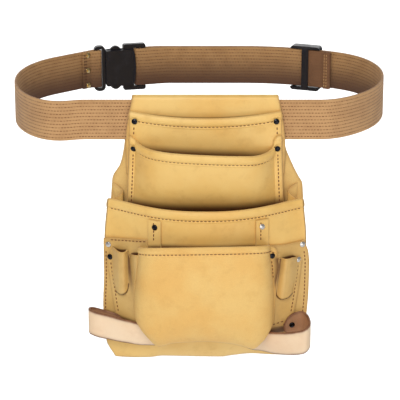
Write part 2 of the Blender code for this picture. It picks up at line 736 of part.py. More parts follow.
def make_slider(axis):
    half = SLIDER_LENGTH / 2
    strap_in = -STRAP_SIDE - LAYER_STEP - SLIDER_CLEAR
    strap_out = STRAP_SIDE + SLIDER_CLEAR
    inner = strap_in - SLIDER_BAR_DEPTH
    outer = strap_out + SLIDER_BAR_DEPTH
    outline = box_outline(-half, half, SLIDER_HALF_HEIGHT, SLIDER_CORNER)
    slider = add_object("strap_slider", prism_shape(outline, inner, outer, in_slider), PLASTIC_BLACK, axis)
    window = (-STRAP_SLOT_HALF, STRAP_SLOT_HALF)
    past = half + GAP
    cut_box(slider, "strap_way", (-past, past), window, (strap_in, strap_out), in_slider)
    inside = (inner - GAP, strap_in + GAP)
    cut_box(slider, "inner_left", (-past, -SLIDER_BAR / 2), window, inside, in_slider)
    cut_box(slider, "inner_right", (SLIDER_BAR / 2, past), window, inside, in_slider)
    opening = half - SLIDER_END_BAR
    cut_box(slider, "outer", (-opening, opening), window, (strap_out - GAP, outer + GAP), in_slider)


# Rivets

def rivet_shape(foot, normal, grip):
    normal = Vector(normal).normalized()
    sideways = normal.orthogonal().normalized()
    upright = normal.cross(sideways)
    top = RIVET_SEAT + RIVET_CAP_HEIGHT
    tail = -grip - RIVET_SEAT
    profile = ((RIVET_CROWN, RIVET_SEAT + RIVET_CROWN_HEIGHT), (RIVET_CAP, RIVET_SEAT + RIVET_EDGE_HEIGHT),
               (RIVET_CAP, RIVET_SEAT), (RIVET_POST, RIVET_SEAT), (RIVET_POST, tail), (RIVET_TAIL, tail),
               (RIVET_TAIL, tail - RIVET_TAIL_HEIGHT))
    shape = bmesh.new()
    rings = []
    for radius, height in profile:
        ring = []
        for side in range(RIVET_SIDES):
            angle = 2 * math.pi * side / RIVET_SIDES
            arm = sideways * math.cos(angle) + upright * math.sin(angle)
            ring.append(shape.verts.new(Vector(foot) + normal * height + arm * radius))
        rings.append(ring)
    crown = shape.verts.new(Vector(foot) + normal * top)
    base = shape.verts.new(Vector(foot) + normal * (tail - RIVET_TAIL_HEIGHT))
    for side in range(RIVET_SIDES):
        following = (side + 1) % RIVET_SIDES
        shape.faces.new((rings[0][side], rings[0][following], crown))
        shape.faces.new((rings[-1][side], rings[-1][following], base))
        for ring, lower in zip(rings, rings[1:]):
            shape.faces.new((ring[side], ring[following], lower[following], lower[side]))
    return shape


def hole_shape(foot, normal, grip):
    normal = Vector(normal).normalized()
    shape = bmesh.new()
    length = grip + 2 * CUTTER_EXTRA
    turn = Vector((0.0, 0.0, 1.0)).rotation_difference(normal).to_matrix().to_4x4()
    middle = Vector(foot) - normal * (grip / 2)
    radius = RIVET_POST + HOLE_CLEAR
    bmesh.ops.create_cone(shape, cap_ends=True, segments=RIVET_SIDES, radius1=radius, radius2=radius,
                          depth=length, matrix=Matrix.Translation(middle) @ turn)
    return shape


def make_rivet(name, foot, normal, grip, finish, sheets, axis):
    add_object(name, rivet_shape(foot, normal, grip), finish, axis)
    hole = as_cutter(add_object(name + "_hole", hole_shape(foot, normal, grip), finish, axis))
    for item in sheets:
        combine(item, hole, "DIFFERENCE")


# Depths of the pouch's layers, forward from the back panel's front face

def panel_half(z):
    return through_stations(z, ((FOLD_TOP, PANEL_TOP_HALF), (PANEL_BELT_LEVEL, PANEL_BELT_HALF),
                                (PANEL_WAIST_LEVEL, PANEL_WAIST_HALF), (PANEL_FLARE_LEVEL, PANEL_FLARE_HALF),
                                (PANEL_LOW_LEVEL, PANEL_LOW_HALF), (POUCH_FOOT, PANEL_FOOT_HALF)))


def sheet_face(back, x, z, thick):
    # The front face of a sheet: its back face and its thickness, measured straight forward on a slope.
    slope = (back(x + SLOPE_STEP, z) - back(x - SLOPE_STEP, z)) / (2 * SLOPE_STEP)
    return back(x, z) + thick * min(math.sqrt(1.0 + slope * slope), SLOPE_LIMIT)


def flap_face(z):
    seat = LAYER_GAP + LEATHER
    return mix(seat, FLAP_BACK + LEATHER, min(max((z - FLAP_SEWN) / (FLAP_FREE - FLAP_SEWN), 0.0), 1.0))


def upper_half(z):
    return mix(UPPER_HALF_TOP, UPPER_HALF_FOOT, (UPPER_RIM - z) / (UPPER_RIM - UPPER_FOOT))


def upper_back(x, z):
    across = max(1.0 - abs(x / upper_half(z)) ** UPPER_SQUARE, 0.0)
    down = max((z - UPPER_FOOT) / (UPPER_RIM - UPPER_FOOT), 0.0)
    return flap_face(z) + LAYER_GAP + UPPER_BULGE * across * down


def upper_face(x, z):
    return sheet_face(upper_back, x, z, LEATHER)


def middle_half(z):
    return mix(MIDDLE_HALF_TOP, MIDDLE_HALF_FOOT, (MIDDLE_RIM - z) / (MIDDLE_RIM - MIDDLE_FOOT))


def middle_back(x, z):
    inside = middle_half(z) * (1.0 - MIDDLE_FLANGE_SHARE)
    across = max(1.0 - abs(x / inside) ** MIDDLE_SQUARE, 0.0)
    down = min(max((MIDDLE_RIM - z) / (MIDDLE_RIM - MIDDLE_FOOT), 0.0), 1.0)
    return upper_face(x, z) + LAYER_GAP + MIDDLE_BULGE * across * (1.0 - down ** MIDDLE_FALL)


def middle_face(x, z):
    return sheet_face(middle_back, x, z, LEATHER)


def main_half(z):
    return through_stations(z, ((MAIN_RIM, MAIN_HALF_TOP), (MAIN_WIDE_LEVEL, MAIN_HALF_WIDE),
                                (MAIN_LOW_LEVEL, MAIN_HALF_WIDE), (POUCH_FOOT, MAIN_FOOT_HALF)))


def main_back(x, z):
    share = min(abs(x / main_half(z)), 1.0)
    across = (1.0 - share ** MAIN_SQUARE) ** MAIN_SOFT
    down = min(max((MAIN_RIM - z) / (MAIN_RIM - POUCH_FOOT), 0.0), 1.0)
    side = LAYER_GAP + MAIN_SIDE_DEPTH * (1.0 - down ** MAIN_SIDE_FALL)
    return side + MAIN_BULGE * across * (1.0 - down ** MAIN_FALL)


def main_face(x, z):
    return sheet_face(main_back, x, z, LEATHER)


def tool_back(x, z):
    return main_face(x, z) + LAYER_GAP


def tool_face(x, z):
    return sheet_face(tool_back, x, z, LEATHER)


def tube_seat(x, z):
    return tool_face(x, z) + LAYER_GAP


def hammer_level(x):
    # The strap's middle line: lowest beside the centre pouch, higher behind it and at its loops.
    return through_stations(x, ((HAMMER_RIGHT_OUT, HAMMER_RIGHT_OUT_Z), (HAMMER_RIGHT_JOIN, HAMMER_RIGHT_JOIN_Z),
                                (HAMMER_CENTRE_HALF, HAMMER_CENTRE_Z), (-HAMMER_CENTRE_HALF, HAMMER_CENTRE_Z),
                                (HAMMER_LEFT_JOIN, HAMMER_LEFT_JOIN_Z), (HAMMER_LEFT_OUT, HAMMER_LEFT_OUT_Z)))


def centre_seat(x, z):
    # Flat on the tool panels above, and over the hammer strap below.
    strap_top = hammer_level(x) + HAMMER_WIDTH / 2
    over = ease((strap_top + HAMMER_COVER - z) / (HAMMER_COVER / 2))
    return tube_seat(x, z) + over * (HAMMER_THICK + 2 * LAYER_GAP)


# Pouch pieces

def in_pouch(x, forward, z):
    return (POUCH_X + x, PANEL_FRONT_Y - forward, z)


def depth_sheet(name, columns, rows, place, back, thick, finish, axis):
    # A sheet over a grid of places (x, z), lying on a depth and thickened forward.
    grid = [[place(across, down) for across in columns] for down in rows]
    fronts = [[in_pouch(x, sheet_face(back, x, z, thick), z) for x, z in line] for line in grid]
    backs = [[in_pouch(x, back(x, z), z) for x, z in line] for line in grid]
    return add_object(name, sheet_shape(fronts, backs), finish, axis)


def make_back_panel(axis):
    middle = (FLAP_BACK + LEATHER) / 2
    top = FOLD_TOP - middle - LEATHER / 2
    profile = [(LAYER_GAP + LEATHER / 2, FLAP_END), (LAYER_GAP + LEATHER / 2, FLAP_SEWN),
               (FLAP_BACK + LEATHER / 2, FLAP_FREE)]
    for share in even(TURN_STEPS):
        angle = math.pi * share
        profile.append((FLAP_BACK / 2 + middle * math.cos(angle), top + middle * math.sin(angle)))
    levels = [PANEL_BELT_LEVEL]
    levels += [mix(PANEL_WAIST_LEVEL, PANEL_FLARE_LEVEL, share) for share in even(3)]
    levels += [PANEL_LOW_LEVEL, POUCH_FOOT]
    profile += [(-LEATHER / 2, level) for level in levels]
    line = [Vector(point) for point in profile]
    grids = []
    for distance in (LEATHER / 2, -LEATHER / 2):
        moved = offset_line(line, distance)
        grids.append([[in_pouch(side * panel_half(point.y), point.x, point.y) for side in (-1, 1)]
                      for point in moved])
    return add_object("back_panel", sheet_shape(*grids), LEATHER_BUFF, axis)


def make_upper_pocket(axis):
    def place(across, down):
        share = 2 * across - 1
        rim = UPPER_RIM - UPPER_RIM_SAG * (1 - share * share)
        z = mix(rim, UPPER_FOOT, down)
        return share * upper_half(z), z
    return depth_sheet("upper_pocket", even(10), even(10), place, upper_back, LEATHER, LEATHER_BUFF, axis)


def make_middle_pocket(axis):
    def place(across, down):
        share = 2 * across - 1
        rim = MIDDLE_RIM - MIDDLE_RIM_SAG * (1 - share * share)
        z = mix(rim, MIDDLE_FOOT, down)
        return share * middle_half(z), z
    flange = MIDDLE_FLANGE_SHARE / 2
    columns = [0.0] + [mix(flange, 1.0 - flange, share) for share in even(18)] + [1.0]
    return depth_sheet("middle_pocket", columns, even(10), place, middle_back, LEATHER, LEATHER_BUFF, axis)


def make_main_front(axis):
    def place(across, down):
        share = 2 * across - 1
        rim = MAIN_RIM - MAIN_RIM_SAG * (1 - share * share)
        z = mix(rim, POUCH_FOOT, down)
        return share * main_half(z), z
    columns = even(26)
    return depth_sheet("main_pouch_front", columns, even(14), place, main_back, LEATHER, LEATHER_BUFF, axis)


def make_gusset(name, side, axis):
    # The side wall of the main pouch, folded inwards along its middle.
    rows = 8
    lefts = []
    rights = []
    for row in range(rows + 1):
        z = mix(MAIN_RIM, GUSSET_FOOT, row / rows)
        deep = ease((MAIN_RIM - z) / GUSSET_TOP_DEPTH)
        outer = side * (main_half(z) - mix(GUSSET_TOP_SEAM, GUSSET_SEAM, deep))
        inner = outer - side * mix(GUSSET_TOP_FOLD, GUSSET_FOLD, deep)
        rear = GAP + SOFT_LEATHER / 2
        fore = main_back(outer, z) - LAYER_GAP - SOFT_LEATHER / 2
        lift = GUSSET_RISE if row == 0 else 0.0
        line = [Vector((outer, rear)), Vector((inner, (rear + fore) / 2)), Vector((outer, fore))]
        levels = (z + lift, z + lift / 2, z)
        for grid, distance in ((lefts, SOFT_LEATHER / 2), (rights, -SOFT_LEATHER / 2)):
            moved = offset_line(line, distance)
            grid.append([in_pouch(point.x, point.y, level) for point, level in zip(moved, levels)])
    add_object(name, sheet_shape(lefts, rights), LEATHER_BUFF, axis)


def make_tab(name, middle, axis):
    def place(across, down):
        return middle + (across - 0.5) * TAB_WIDTH, mix(TAB_TOP, TAB_FOOT, down)
    return depth_sheet(name, even(2), even(4), place, tool_back, SOFT_LEATHER, LEATHER_BUFF, axis)


def make_tool_panel(name, side, inner, axis):
    def place(across, down):
        top = mix(TOOL_INNER_TOP, TOOL_OUTER_TOP, across)
        z = mix(top, TOOL_FOOT, down)
        return mix(inner, side * (main_half(z) + TOOL_OVERHANG), across), z
    return depth_sheet(name, even(8), even(9), place, tool_back, LEATHER, LEATHER_BUFF, axis)


def make_tube(name, middle, half, lift, top, foot, flange, axis):
    # A half-round tube sewn down along its sides; flange is the side that carries a riveted edge.
    rows = 5
    outers = []
    inners = []
    for row in range(rows + 1):
        share = row / rows
        z = mix(top, foot, share)
        wide = half * (1.0 - TUBE_TAPER * share)
        high = mix(lift, TUBE_FOOT_LIFT, share)
        line = []
        for turn in even(TURN_STEPS):
            angle = math.pi * turn
            depth = SOFT_LEATHER / 2 + high * math.sin(angle)
            line.append(Vector((middle - wide * math.cos(angle), depth)))
        levels = [z] * len(line)
        if flange != 0:
            edge = Vector((middle + flange * (half + TUBE_FLANGE), SOFT_LEATHER / 2))
            level = z - TUBE_FLANGE_DROP * (1.0 - share)
            line = line + [edge] if flange > 0 else [edge] + line
            levels = levels + [level] if flange > 0 else [level] + levels
        for grid, distance in ((outers, SOFT_LEATHER / 2), (inners, -SOFT_LEATHER / 2)):
            moved = offset_line(line, distance)
            grid.append([in_pouch(point.x, tube_seat(point.x, level) + max(point.y, 0.0), level)
                         for point, level in zip(moved, levels)])
    return add_object(name, sheet_shape(outers, inners), LEATHER_BUFF, axis)


def centre_left(z):
    return through_stations(z, ((CENTRE_RIM, CENTRE_LEFT_TOP), (CENTRE_LEFT_LEVEL, CENTRE_LEFT_TOP),
                                (CENTRE_WIDE_LEVEL, CENTRE_LEFT_WIDE),
                                (CENTRE_CHAMFER_LEVEL, CENTRE_LEFT_WIDE),
                                (CENTRE_FOOT, -CENTRE_FOOT_HALF)))


def centre_right(z):
    return through_stations(z, ((CENTRE_RIM, CENTRE_RIGHT_TOP), (CENTRE_WIDE_LEVEL, CENTRE_RIGHT_WIDE),
                                (CENTRE_CHAMFER_LEVEL, CENTRE_RIGHT_WIDE), (CENTRE_FOOT, CENTRE_FOOT_HALF)))


def centre_lift(z):
    return through_stations(z, ((CENTRE_RIM, CENTRE_RIM_LIFT), (CENTRE_WIDE_LEVEL, CENTRE_MID_LIFT),
                                (CENTRE_CHAMFER_LEVEL, CENTRE_CHAMFER_LIFT),
                                (CENTRE_FOOT, CENTRE_FOOT_LIFT)))


def centre_flange(z):
    down = (CENTRE_RIM - z) / (CENTRE_RIM - CENTRE_CHAMFER_LEVEL)
    return mix(CENTRE_FLANGE, CENTRE_FLANGE_LOW, ease(down))


def make_centre_pouch(axis):
    rows = 11
    columns = 18
    outers = []
    inners = []
    for row in range(rows + 1):
        z = mix(CENTRE_RIM, CENTRE_FOOT, row / rows)
        left = centre_left(z)
        right = centre_right(z)
        middle = (left + right) / 2
        half = (right - left) / 2
        peak = centre_seat(0.0, z) + centre_lift(z)
        line = []
        for step in range(columns + 1):
            angle = math.pi * step / columns
            across = math.copysign(abs(math.cos(angle)) ** CENTRE_ROUND, -math.cos(angle))
            x = middle + half * across
            seat = mix(centre_seat(left, z), centre_seat(right, z), (across + 1) / 2) + SOFT_LEATHER / 2
            line.append(Vector((x, mix(seat, peak, math.sin(angle) ** CENTRE_ROUND))))
        edge = right + centre_flange(z)
        line.append(Vector((edge, centre_seat(edge, z) + SOFT_LEATHER / 2)))
        level = z + CENTRE_RIM_TILT * (1 - row / rows)
        for grid, distance in ((outers, SOFT_LEATHER / 2), (inners, -SOFT_LEATHER / 2)):
            points = []
            for point in offset_line(line, distance):
                depth = max(point.y, centre_seat(point.x, z))
                points.append(in_pouch(point.x, depth, mix(z, level, (point.x / half + 1) / 2)))
            grid.append(points)
    return add_object("centre_pouch", sheet_shape(outers, inners), LEATHER_SUEDE, axis)


def hammer_stations():
    # Each station: x, lift off the panels, rise of the strap's middle line.
    left_mid = (HAMMER_LEFT_OUT + HAMMER_LEFT_JOIN) / 2
    right_mid = (HAMMER_RIGHT_OUT + HAMMER_RIGHT_JOIN) / 2
    left_turn = HAMMER_LEFT_LIFT / 3
    right_turn = HAMMER_RIGHT_LIFT / 4
    return ((HAMMER_LEFT_TAB, 0.0, HAMMER_LEFT_RISE),
            (HAMMER_LEFT_TAB - 2 * HAMMER_RIVET_IN, 0.0, HAMMER_LEFT_RISE),
            (HAMMER_LEFT_OUT + left_turn, left_turn / 3, HAMMER_LEFT_RISE),
            (HAMMER_LEFT_OUT, HAMMER_LEFT_LIFT / 2, HAMMER_LEFT_RISE / 2),
            (HAMMER_LEFT_OUT + left_turn, HAMMER_LEFT_LIFT, 0.0),
            (left_mid, HAMMER_LEFT_MID_LIFT, 0.0),
            (HAMMER_LEFT_JOIN, 0.0, 0.0),
            (0.0, 0.0, 0.0),
            (HAMMER_RIGHT_JOIN, 0.0, 0.0),
            (right_mid, HAMMER_RIGHT_MID_LIFT, 0.0),
            (HAMMER_RIGHT_OUT - right_turn, HAMMER_RIGHT_LIFT, 0.0),
            (HAMMER_RIGHT_OUT, HAMMER_RIGHT_LIFT / 2, HAMMER_RIGHT_RISE / 2),
            (HAMMER_RIGHT_OUT - right_turn / 2, right_turn, HAMMER_RIGHT_RISE),
            (HAMMER_RIGHT_TAB + 2 * HAMMER_RIVET_IN, 0.0, HAMMER_RIGHT_RISE),
            (HAMMER_RIGHT_TAB, 0.0, HAMMER_RIGHT_RISE))


def make_hammer_strap(axis):
    stations = smooth_line(hammer_stations(), HAMMER_STEPS)
    rows = 4
    fronts = []
    backs = []
    for row in range(rows + 1):
        offset = (row / rows - 0.5) * HAMMER_WIDTH
        line = []
        levels = []
        for x, lift, rise in stations:
            z = hammer_level(x) + rise + offset
            line.append(Vector((x, tube_seat(x, z) + HAMMER_THICK / 2 + max(lift, 0.0))))
            levels.append(z)
        for grid, distance in ((fronts, HAMMER_THICK / 2), (backs, -HAMMER_THICK / 2)):
            moved = offset_line(line, distance)
            grid.append([in_pouch(point.x, point.y, z) for point, z in zip(moved, levels)])
    return add_object("hammer_strap", sheet_shape(fronts, backs), LEATHER_PALE, axis)


# Rivets of the pouch

def face_normal(face, x, z):
    across = (face(x + SLOPE_STEP, z) - face(x - SLOPE_STEP, z)) / (2 * SLOPE_STEP)
    upward = (face(x, z + SLOPE_STEP) - face(x, z - SLOPE_STEP)) / (2 * SLOPE_STEP)
    return Vector((-across, -1.0, -upward)).normalized()


def pouch_rivet(name, x, z, face, thick, last_back, finish, sheets, axis):
    # Stands square on the top sheet and reaches through to the back of the last one.
    normal = face_normal(face, x, z)
    grip = thick
    for _ in range(RIVET_ROUNDS):
        grip = (face(x, z) - last_back(x - normal.x * grip, z - normal.z * grip)) / -normal.y
    lean = normal.angle(face_normal(last_back, x, z))
    grip += RIVET_TAIL * math.tan(lean)
    make_rivet(name, in_pouch(x, face(x, z), z), normal, grip, finish, sheets, axis)


def flap_back(x, z):
    return flap_face(z) - LEATHER


def tab_face(x, z):
    return sheet_face(tool_back, x, z, SOFT_LEATHER)


def tube_flange_face(x, z):
    return tube_seat(x, z) + SOFT_LEATHER


def centre_flange_face(x, z):
    return centre_seat(x, z) + SOFT_LEATHER


def hammer_tab_face(x, z):
    return tube_seat(x, z) + HAMMER_THICK


def make_pouch(axis):
    back = make_back_panel(axis)
    upper = make_upper_pocket(axis)
    middle = make_middle_pocket(axis)
    main = make_main_front(axis)
    centre = make_centre_pouch(axis)
    hammer = make_hammer_strap(axis)
    tubes = {}
    tubes["left"] = make_tube("tool_tube_left_outer", TUBE_OUTER_X, TUBE_OUTER_HALF, TUBE_OUTER_LIFT,
                              TUBE_LEFT_TOP, TUBE_OUTER_FOOT, -1, axis)
    make_tube("tool_tube_left_inner", TUBE_INNER_X, TUBE_INNER_HALF, TUBE_INNER_LIFT,
              TUBE_LEFT_TOP, TUBE_INNER_FOOT, 0, axis)
    tubes["right"] = make_tube("tool_tube_right", TUBE_RIGHT_X, TUBE_RIGHT_HALF, TUBE_RIGHT_LIFT,
                               TUBE_RIGHT_TOP, TUBE_RIGHT_FOOT, 1, axis)
    tool_top = TOOL_OUTER_TOP - TOOL_RIVET_DROP
    sides = (("left", -1, TAB_LEFT_X, TOOL_LEFT_INNER, METAL_DARK, TUBE_LEFT_RIVET_Z,
              TUBE_OUTER_X - TUBE_OUTER_HALF - TUBE_FLANGE + TUBE_RIVET_IN,
              HAMMER_LEFT_TAB - HAMMER_RIVET_IN, HAMMER_LEFT_RISE),
             ("right", 1, TAB_RIGHT_X, TOOL_RIGHT_INNER, METAL_BRIGHT, TUBE_RIGHT_RIVET_Z,
              TUBE_RIGHT_X + TUBE_RIGHT_HALF + TUBE_FLANGE - TUBE_RIVET_IN,
              HAMMER_RIGHT_TAB + HAMMER_RIVET_IN, HAMMER_RIGHT_RISE))
    for word, side, tab_x, tool_inner, finish, tube_rivet_z, tube_rivet_x, hammer_x, hammer_rise in sides:
        make_gusset("main_gusset_" + word, side, axis)
        tab = make_tab("mouth_tab_" + word, tab_x, axis)
        tool = make_tool_panel("tool_panel_" + word, side, tool_inner, axis)
        upper_x = side * (upper_half(UPPER_RIVET_Z) - UPPER_RIVET_IN)
        pouch_rivet("rivet_upper_" + word, upper_x, UPPER_RIVET_Z, upper_face, LEATHER, flap_back,
                    METAL_DARK, (upper, back), axis)
        middle_x = side * (middle_half(MIDDLE_RIVET_Z) - MIDDLE_RIVET_IN)
        pouch_rivet("rivet_middle_" + word, middle_x, MIDDLE_RIVET_Z, middle_face, LEATHER, flap_back,
                    METAL_DARK, (middle, upper, back), axis)
        pouch_rivet("rivet_tab_" + word, tab_x, TAB_RIVET_Z, tab_face, SOFT_LEATHER, main_back,
                    finish, (tab, main), axis)
        tool_x = side * (main_half(tool_top) + TOOL_OVERHANG - TOOL_RIVET_IN)
        pouch_rivet("rivet_tool_" + word, tool_x, tool_top, tool_face, LEATHER, main_back,
                    METAL_BRIGHT, (tool, main), axis)
        pouch_rivet("rivet_tube_" + word, tube_rivet_x, tube_rivet_z, tube_flange_face, SOFT_LEATHER,
                    main_back, finish, (tubes[word], tool, main), axis)
        hammer_z = hammer_level(hammer_x) + hammer_rise
        pouch_rivet("rivet_hammer_" + word, hammer_x, hammer_z, hammer_tab_face, HAMMER_THICK, main_back,
                    METAL_DARK, (hammer, tool, main), axis)
        if side > 0:
            flange_edge = centre_right(CENTRE_RIVET_Z) + centre_flange(CENTRE_RIVET_Z)
            pouch_rivet("rivet_centre", flange_edge - CENTRE_RIVET_IN, CENTRE_RIVET_Z, centre_flange_face,
                        SOFT_LEATHER, main_back, METAL_DARK, (centre, tool, main), axis)


def make_belt(end_axis, arm_axis, slider_axis):
    add_object("belt_strap", strap_shape(belt_line()), WEBBING_TAN, None)
    add_object("belt_strap_left", strap_shape(left_arm_line()), WEBBING_TAN, arm_axis)
    folded = add_object("belt_strap_end", strap_shape(left_end_line()), WEBBING_TAN, end_axis)
    make_socket()
    make_plug(end_axis)
    for name, side in (("release_prong_upper", 1), ("release_prong_lower", -1)):
        make_prong(name, side, make_axis(name + "_axis", prong_hinge(side), end_axis))
    make_slider(slider_axis)
    inner_face = PLUG_BAR + END_OUT * (BAR_WRAP - LAYER_STEP - STRAP_SIDE) - END_AXIS * FOLD_RIVET_IN
    for name, height in (("top", 1), ("mid", 0), ("low", -1)):
        foot = (inner_face.x, inner_face.y, height * FOLD_RIVET_SPACING)
        make_rivet("rivet_fold_" + name, foot, (-END_OUT.x, -END_OUT.y, 0.0), LAYER_STEP + STRAP_THICK,
                   METAL_BRASS, (folded,), end_axis)


def main():
    clear_scene()
    pouch_axis = make_axis("pouch_slide_axis", (POUCH_X, FRONT_Y, 0.0))
    arm_axis = make_axis("belt_arm_axis", (ARM_HINGE.x, ARM_HINGE.y, 0.0))
    end_axis = make_axis("belt_end_axis", (END_HINGE.x, END_HINGE.y, 0.0), arm_axis)
    slider_axis = make_axis("slider_axis", (BACK_ARC_CENTRE.x, BACK_ARC_CENTRE.y, 0.0))
    make_belt(end_axis, arm_axis, slider_axis)
    make_pouch(pouch_axis)


main()
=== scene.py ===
import math

import bmesh
import bpy
import numpy as np
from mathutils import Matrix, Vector


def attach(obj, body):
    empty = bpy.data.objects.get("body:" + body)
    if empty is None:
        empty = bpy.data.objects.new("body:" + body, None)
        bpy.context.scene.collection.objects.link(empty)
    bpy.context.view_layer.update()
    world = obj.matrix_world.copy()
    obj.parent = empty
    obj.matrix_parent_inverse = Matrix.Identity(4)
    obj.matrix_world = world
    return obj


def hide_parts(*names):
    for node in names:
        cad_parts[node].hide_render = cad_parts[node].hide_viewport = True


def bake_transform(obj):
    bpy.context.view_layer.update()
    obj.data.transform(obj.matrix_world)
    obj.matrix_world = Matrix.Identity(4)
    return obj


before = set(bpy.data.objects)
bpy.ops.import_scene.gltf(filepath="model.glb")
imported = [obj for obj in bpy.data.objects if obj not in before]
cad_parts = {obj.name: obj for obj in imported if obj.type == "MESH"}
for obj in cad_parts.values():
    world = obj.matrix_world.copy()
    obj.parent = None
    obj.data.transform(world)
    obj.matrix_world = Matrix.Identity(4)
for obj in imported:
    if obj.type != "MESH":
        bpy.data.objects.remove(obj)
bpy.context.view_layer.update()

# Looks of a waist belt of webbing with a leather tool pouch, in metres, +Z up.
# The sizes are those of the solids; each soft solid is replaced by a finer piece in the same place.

# Clearances
LAYER_GAP = 0.0008
STRAP_GAP = 0.0006
FLUSH = 0.0003
BESIDE = 0.0010

# Webbing
STRAP_WIDTH = 0.050
STRAP_THICK = 0.003
ROW_COUNT = 11
ROW_PITCH = 0.0042
ROW_DEPTH = 0.00010
EDGE_ROUND = 0.0011
ROW_POINTS = 6
EDGE_POINTS = 7
GROOVE_SHARE = 0.16
MAP_SCALE = 10.0
SHARP_ANGLE = math.radians(60.0)

# Plan of the belt loop
LOOP_HALF_WIDTH = 0.2305
LOOP_DEPTH = 0.267
FRONT_RUN_RIGHT = 0.145
RIGHT_CORNER_X = 0.1935
RIGHT_CORNER_IN = 0.0275
RIGHT_CORNER_HEADING = math.radians(47.0)
RIGHT_SIDE_Y = -0.004
BACK_ARC_X = 0.0555
BACK_ARC_RADIUS = 0.250
BACK_ARC_ANGLE = math.radians(30.0)
BUCKLE_BEND_X = -0.052
BUCKLE_BEND_RADIUS = 0.060
BUCKLE_TILT = math.radians(13.0)
SOCKET_STRAP_RUN = 0.0185
INNER_JOIN_RUN = 0.014
END_LENGTH = 0.062
END_HEADING = math.radians(40.0)
LEFT_BOW_X = -0.168
LEFT_BOW_OUT = 0.006
LEFT_BOW_HEADING = math.radians(182.0)
LEFT_CORNER_X = -0.2115
LEFT_CORNER_IN = 0.026
LEFT_CORNER_HEADING = math.radians(120.0)
LEFT_SIDE_Y = -0.028

# Buckle and slider
BAR_SPACING = 0.0565
BAR_WRAP = 0.0040
PLUG_LOOP = 0.0060
WRAP_STEPS = 14
SOCKET_BAR_RUN = 0.0100
SOCKET_END = 0.0503
SOCKET_FACE = -0.00625
SOCKET_HALF_HEIGHT = 0.0242
SOCKET_MARK = (0.0160, 0.0135)
RIM_BOW = 0.0022
RIM_WIDE = 0.0014
RIM_HIGH = 0.0010
RIM_IN = 0.0010
RIM_END_IN = 0.0015
RIM_TAPER = 12
RIM_LEAST = 0.10
RIM_STEPS = 41
RIM_SIDES = 12
MARK_HALF = 0.0018
MARK_LEVELS = ((0.0004, 1.0), (-0.0002, 1.0), (-0.0005, 0.85))
MARK_SQUARE = 0.4
MARK_SIDES = 24
FOLD_LENGTH = 0.021
FOLD_MEET = 0.009
FOLD_RIVET_IN = 0.0135
FOLD_RIVET_SPACING = 0.0203
FOLD_ROWS = (0.0018, 0.0042)
SLIDER_ANGLE = math.radians(20.0)
SLIDER_LENGTH = 0.040
TAIL_PAST_SLIDER = 0.013
TAIL_HEM = 0.006
TAIL_ROWS = (0.0012, 0.0042)
MOULDED = ("buckle_socket", "buckle_plug", "release_prong_upper", "release_prong_lower", "strap_slider")
MOULD_ROUND = 0.0008
MOULD_STEPS = 3
MOULD_ANGLE = math.radians(30.0)

# Pouch, measured from its own middle line, the belt's mid height and the back panel's front face
POUCH_X = 0.0066
LEATHER = 0.0025
SOFT_LEATHER = 0.0018
TUNNEL_BACK_CLEAR = 0.0005
TUNNEL_FRONT_CLEAR = 0.0032
FOLD_TOP = 0.0315
FLAP_FREE = -0.028
FLAP_SEWN = -0.060
FLAP_END = -0.068
FOLD_POINTS = 17
POUCH_FOOT = -0.304
FLAP_SIDES = ((FLAP_END, 0.0955), (-0.045, 0.0957), (-0.028, 0.0955), (-0.0128, 0.0943), (0.006, 0.0915),
              (FOLD_TOP, 0.0864))
PANEL_LEFTS = ((POUCH_FOOT, 0.1130), (-0.2846, 0.1210), (-0.200, 0.1190), (-0.102, 0.1147),
               (-0.0827, 0.1132), (-0.0763, 0.1127), (-0.0699, 0.1107), (-0.0635, 0.1066),
               (-0.0571, 0.1028), (-0.0431, 0.0992), (-0.0279, 0.0969), (-0.0128, 0.0953),
               (0.006, 0.0922), (FOLD_TOP, 0.0868))
PANEL_RIGHTS = ((POUCH_FOOT, 0.1060), (-0.281, 0.1190), (-0.200, 0.1200), (-0.1123, 0.1191),
                (-0.0904, 0.1181), (-0.081, 0.1172), (-0.0737, 0.1132), (-0.0622, 0.1072),
                (-0.0495, 0.1016), (-0.0374, 0.0968), (-0.0254, 0.0944), (-0.0128, 0.0934),
                (0.006, 0.0908), (FOLD_TOP, 0.0858))
# The uneven foot, from left to right
FOOT_START = -0.272
FOOT_LINE = ((-0.1139, -0.3080), (-0.1019, -0.3092), (-0.0856, -0.3098), (-0.0705, -0.3095),
             (-0.0542, -0.3070), (-0.020, -0.3078), (0.021, -0.3085), (0.031, -0.3065), (0.058, -0.3030),
             (0.080, -0.3045), (0.105, -0.3060))

# Pockets: rim, foot, half widths, bulge
UPPER_RIM = 0.012
UPPER_RIM_SAG = 0.0070
UPPER_FOOT = -0.092
UPPER_HALF_TOP = 0.090
UPPER_HALF_FOOT = 0.094
UPPER_BULGE = 0.008
UPPER_SQUARE = 2.5
MIDDLE_RIM = -0.019
MIDDLE_RIM_LINE = ((-0.0905, -0.0175), (-0.0790, -0.0258), (-0.0715, -0.0278), (-0.063, -0.0287),
                   (-0.056, -0.0291), (0.0, -0.0322), (0.0405, -0.0340), (0.0645, -0.0360),
                   (0.0730, -0.0352), (0.0790, -0.0325), (0.0825, -0.0235), (0.0865, -0.0185),
                   (0.0905, -0.0172))
MIDDLE_FOOT = -0.125
MIDDLE_HALF_TOP = 0.0905
MIDDLE_HALF_FOOT = 0.0955
MIDDLE_FLANGE_LEFT = 0.0078
MIDDLE_FLANGE_RIGHT = 0.0100
MIDDLE_BULGE = 0.030
MIDDLE_SQUARE = 4.5
MIDDLE_FALL = 3.0
MIDDLE_LEAN = 0.12
MIDDLE_FLAT = 1.5
MAIN_RIM = -0.0975
MAIN_RIM_SAG = 0.0030
MAIN_HALF_WIDE = 0.1225
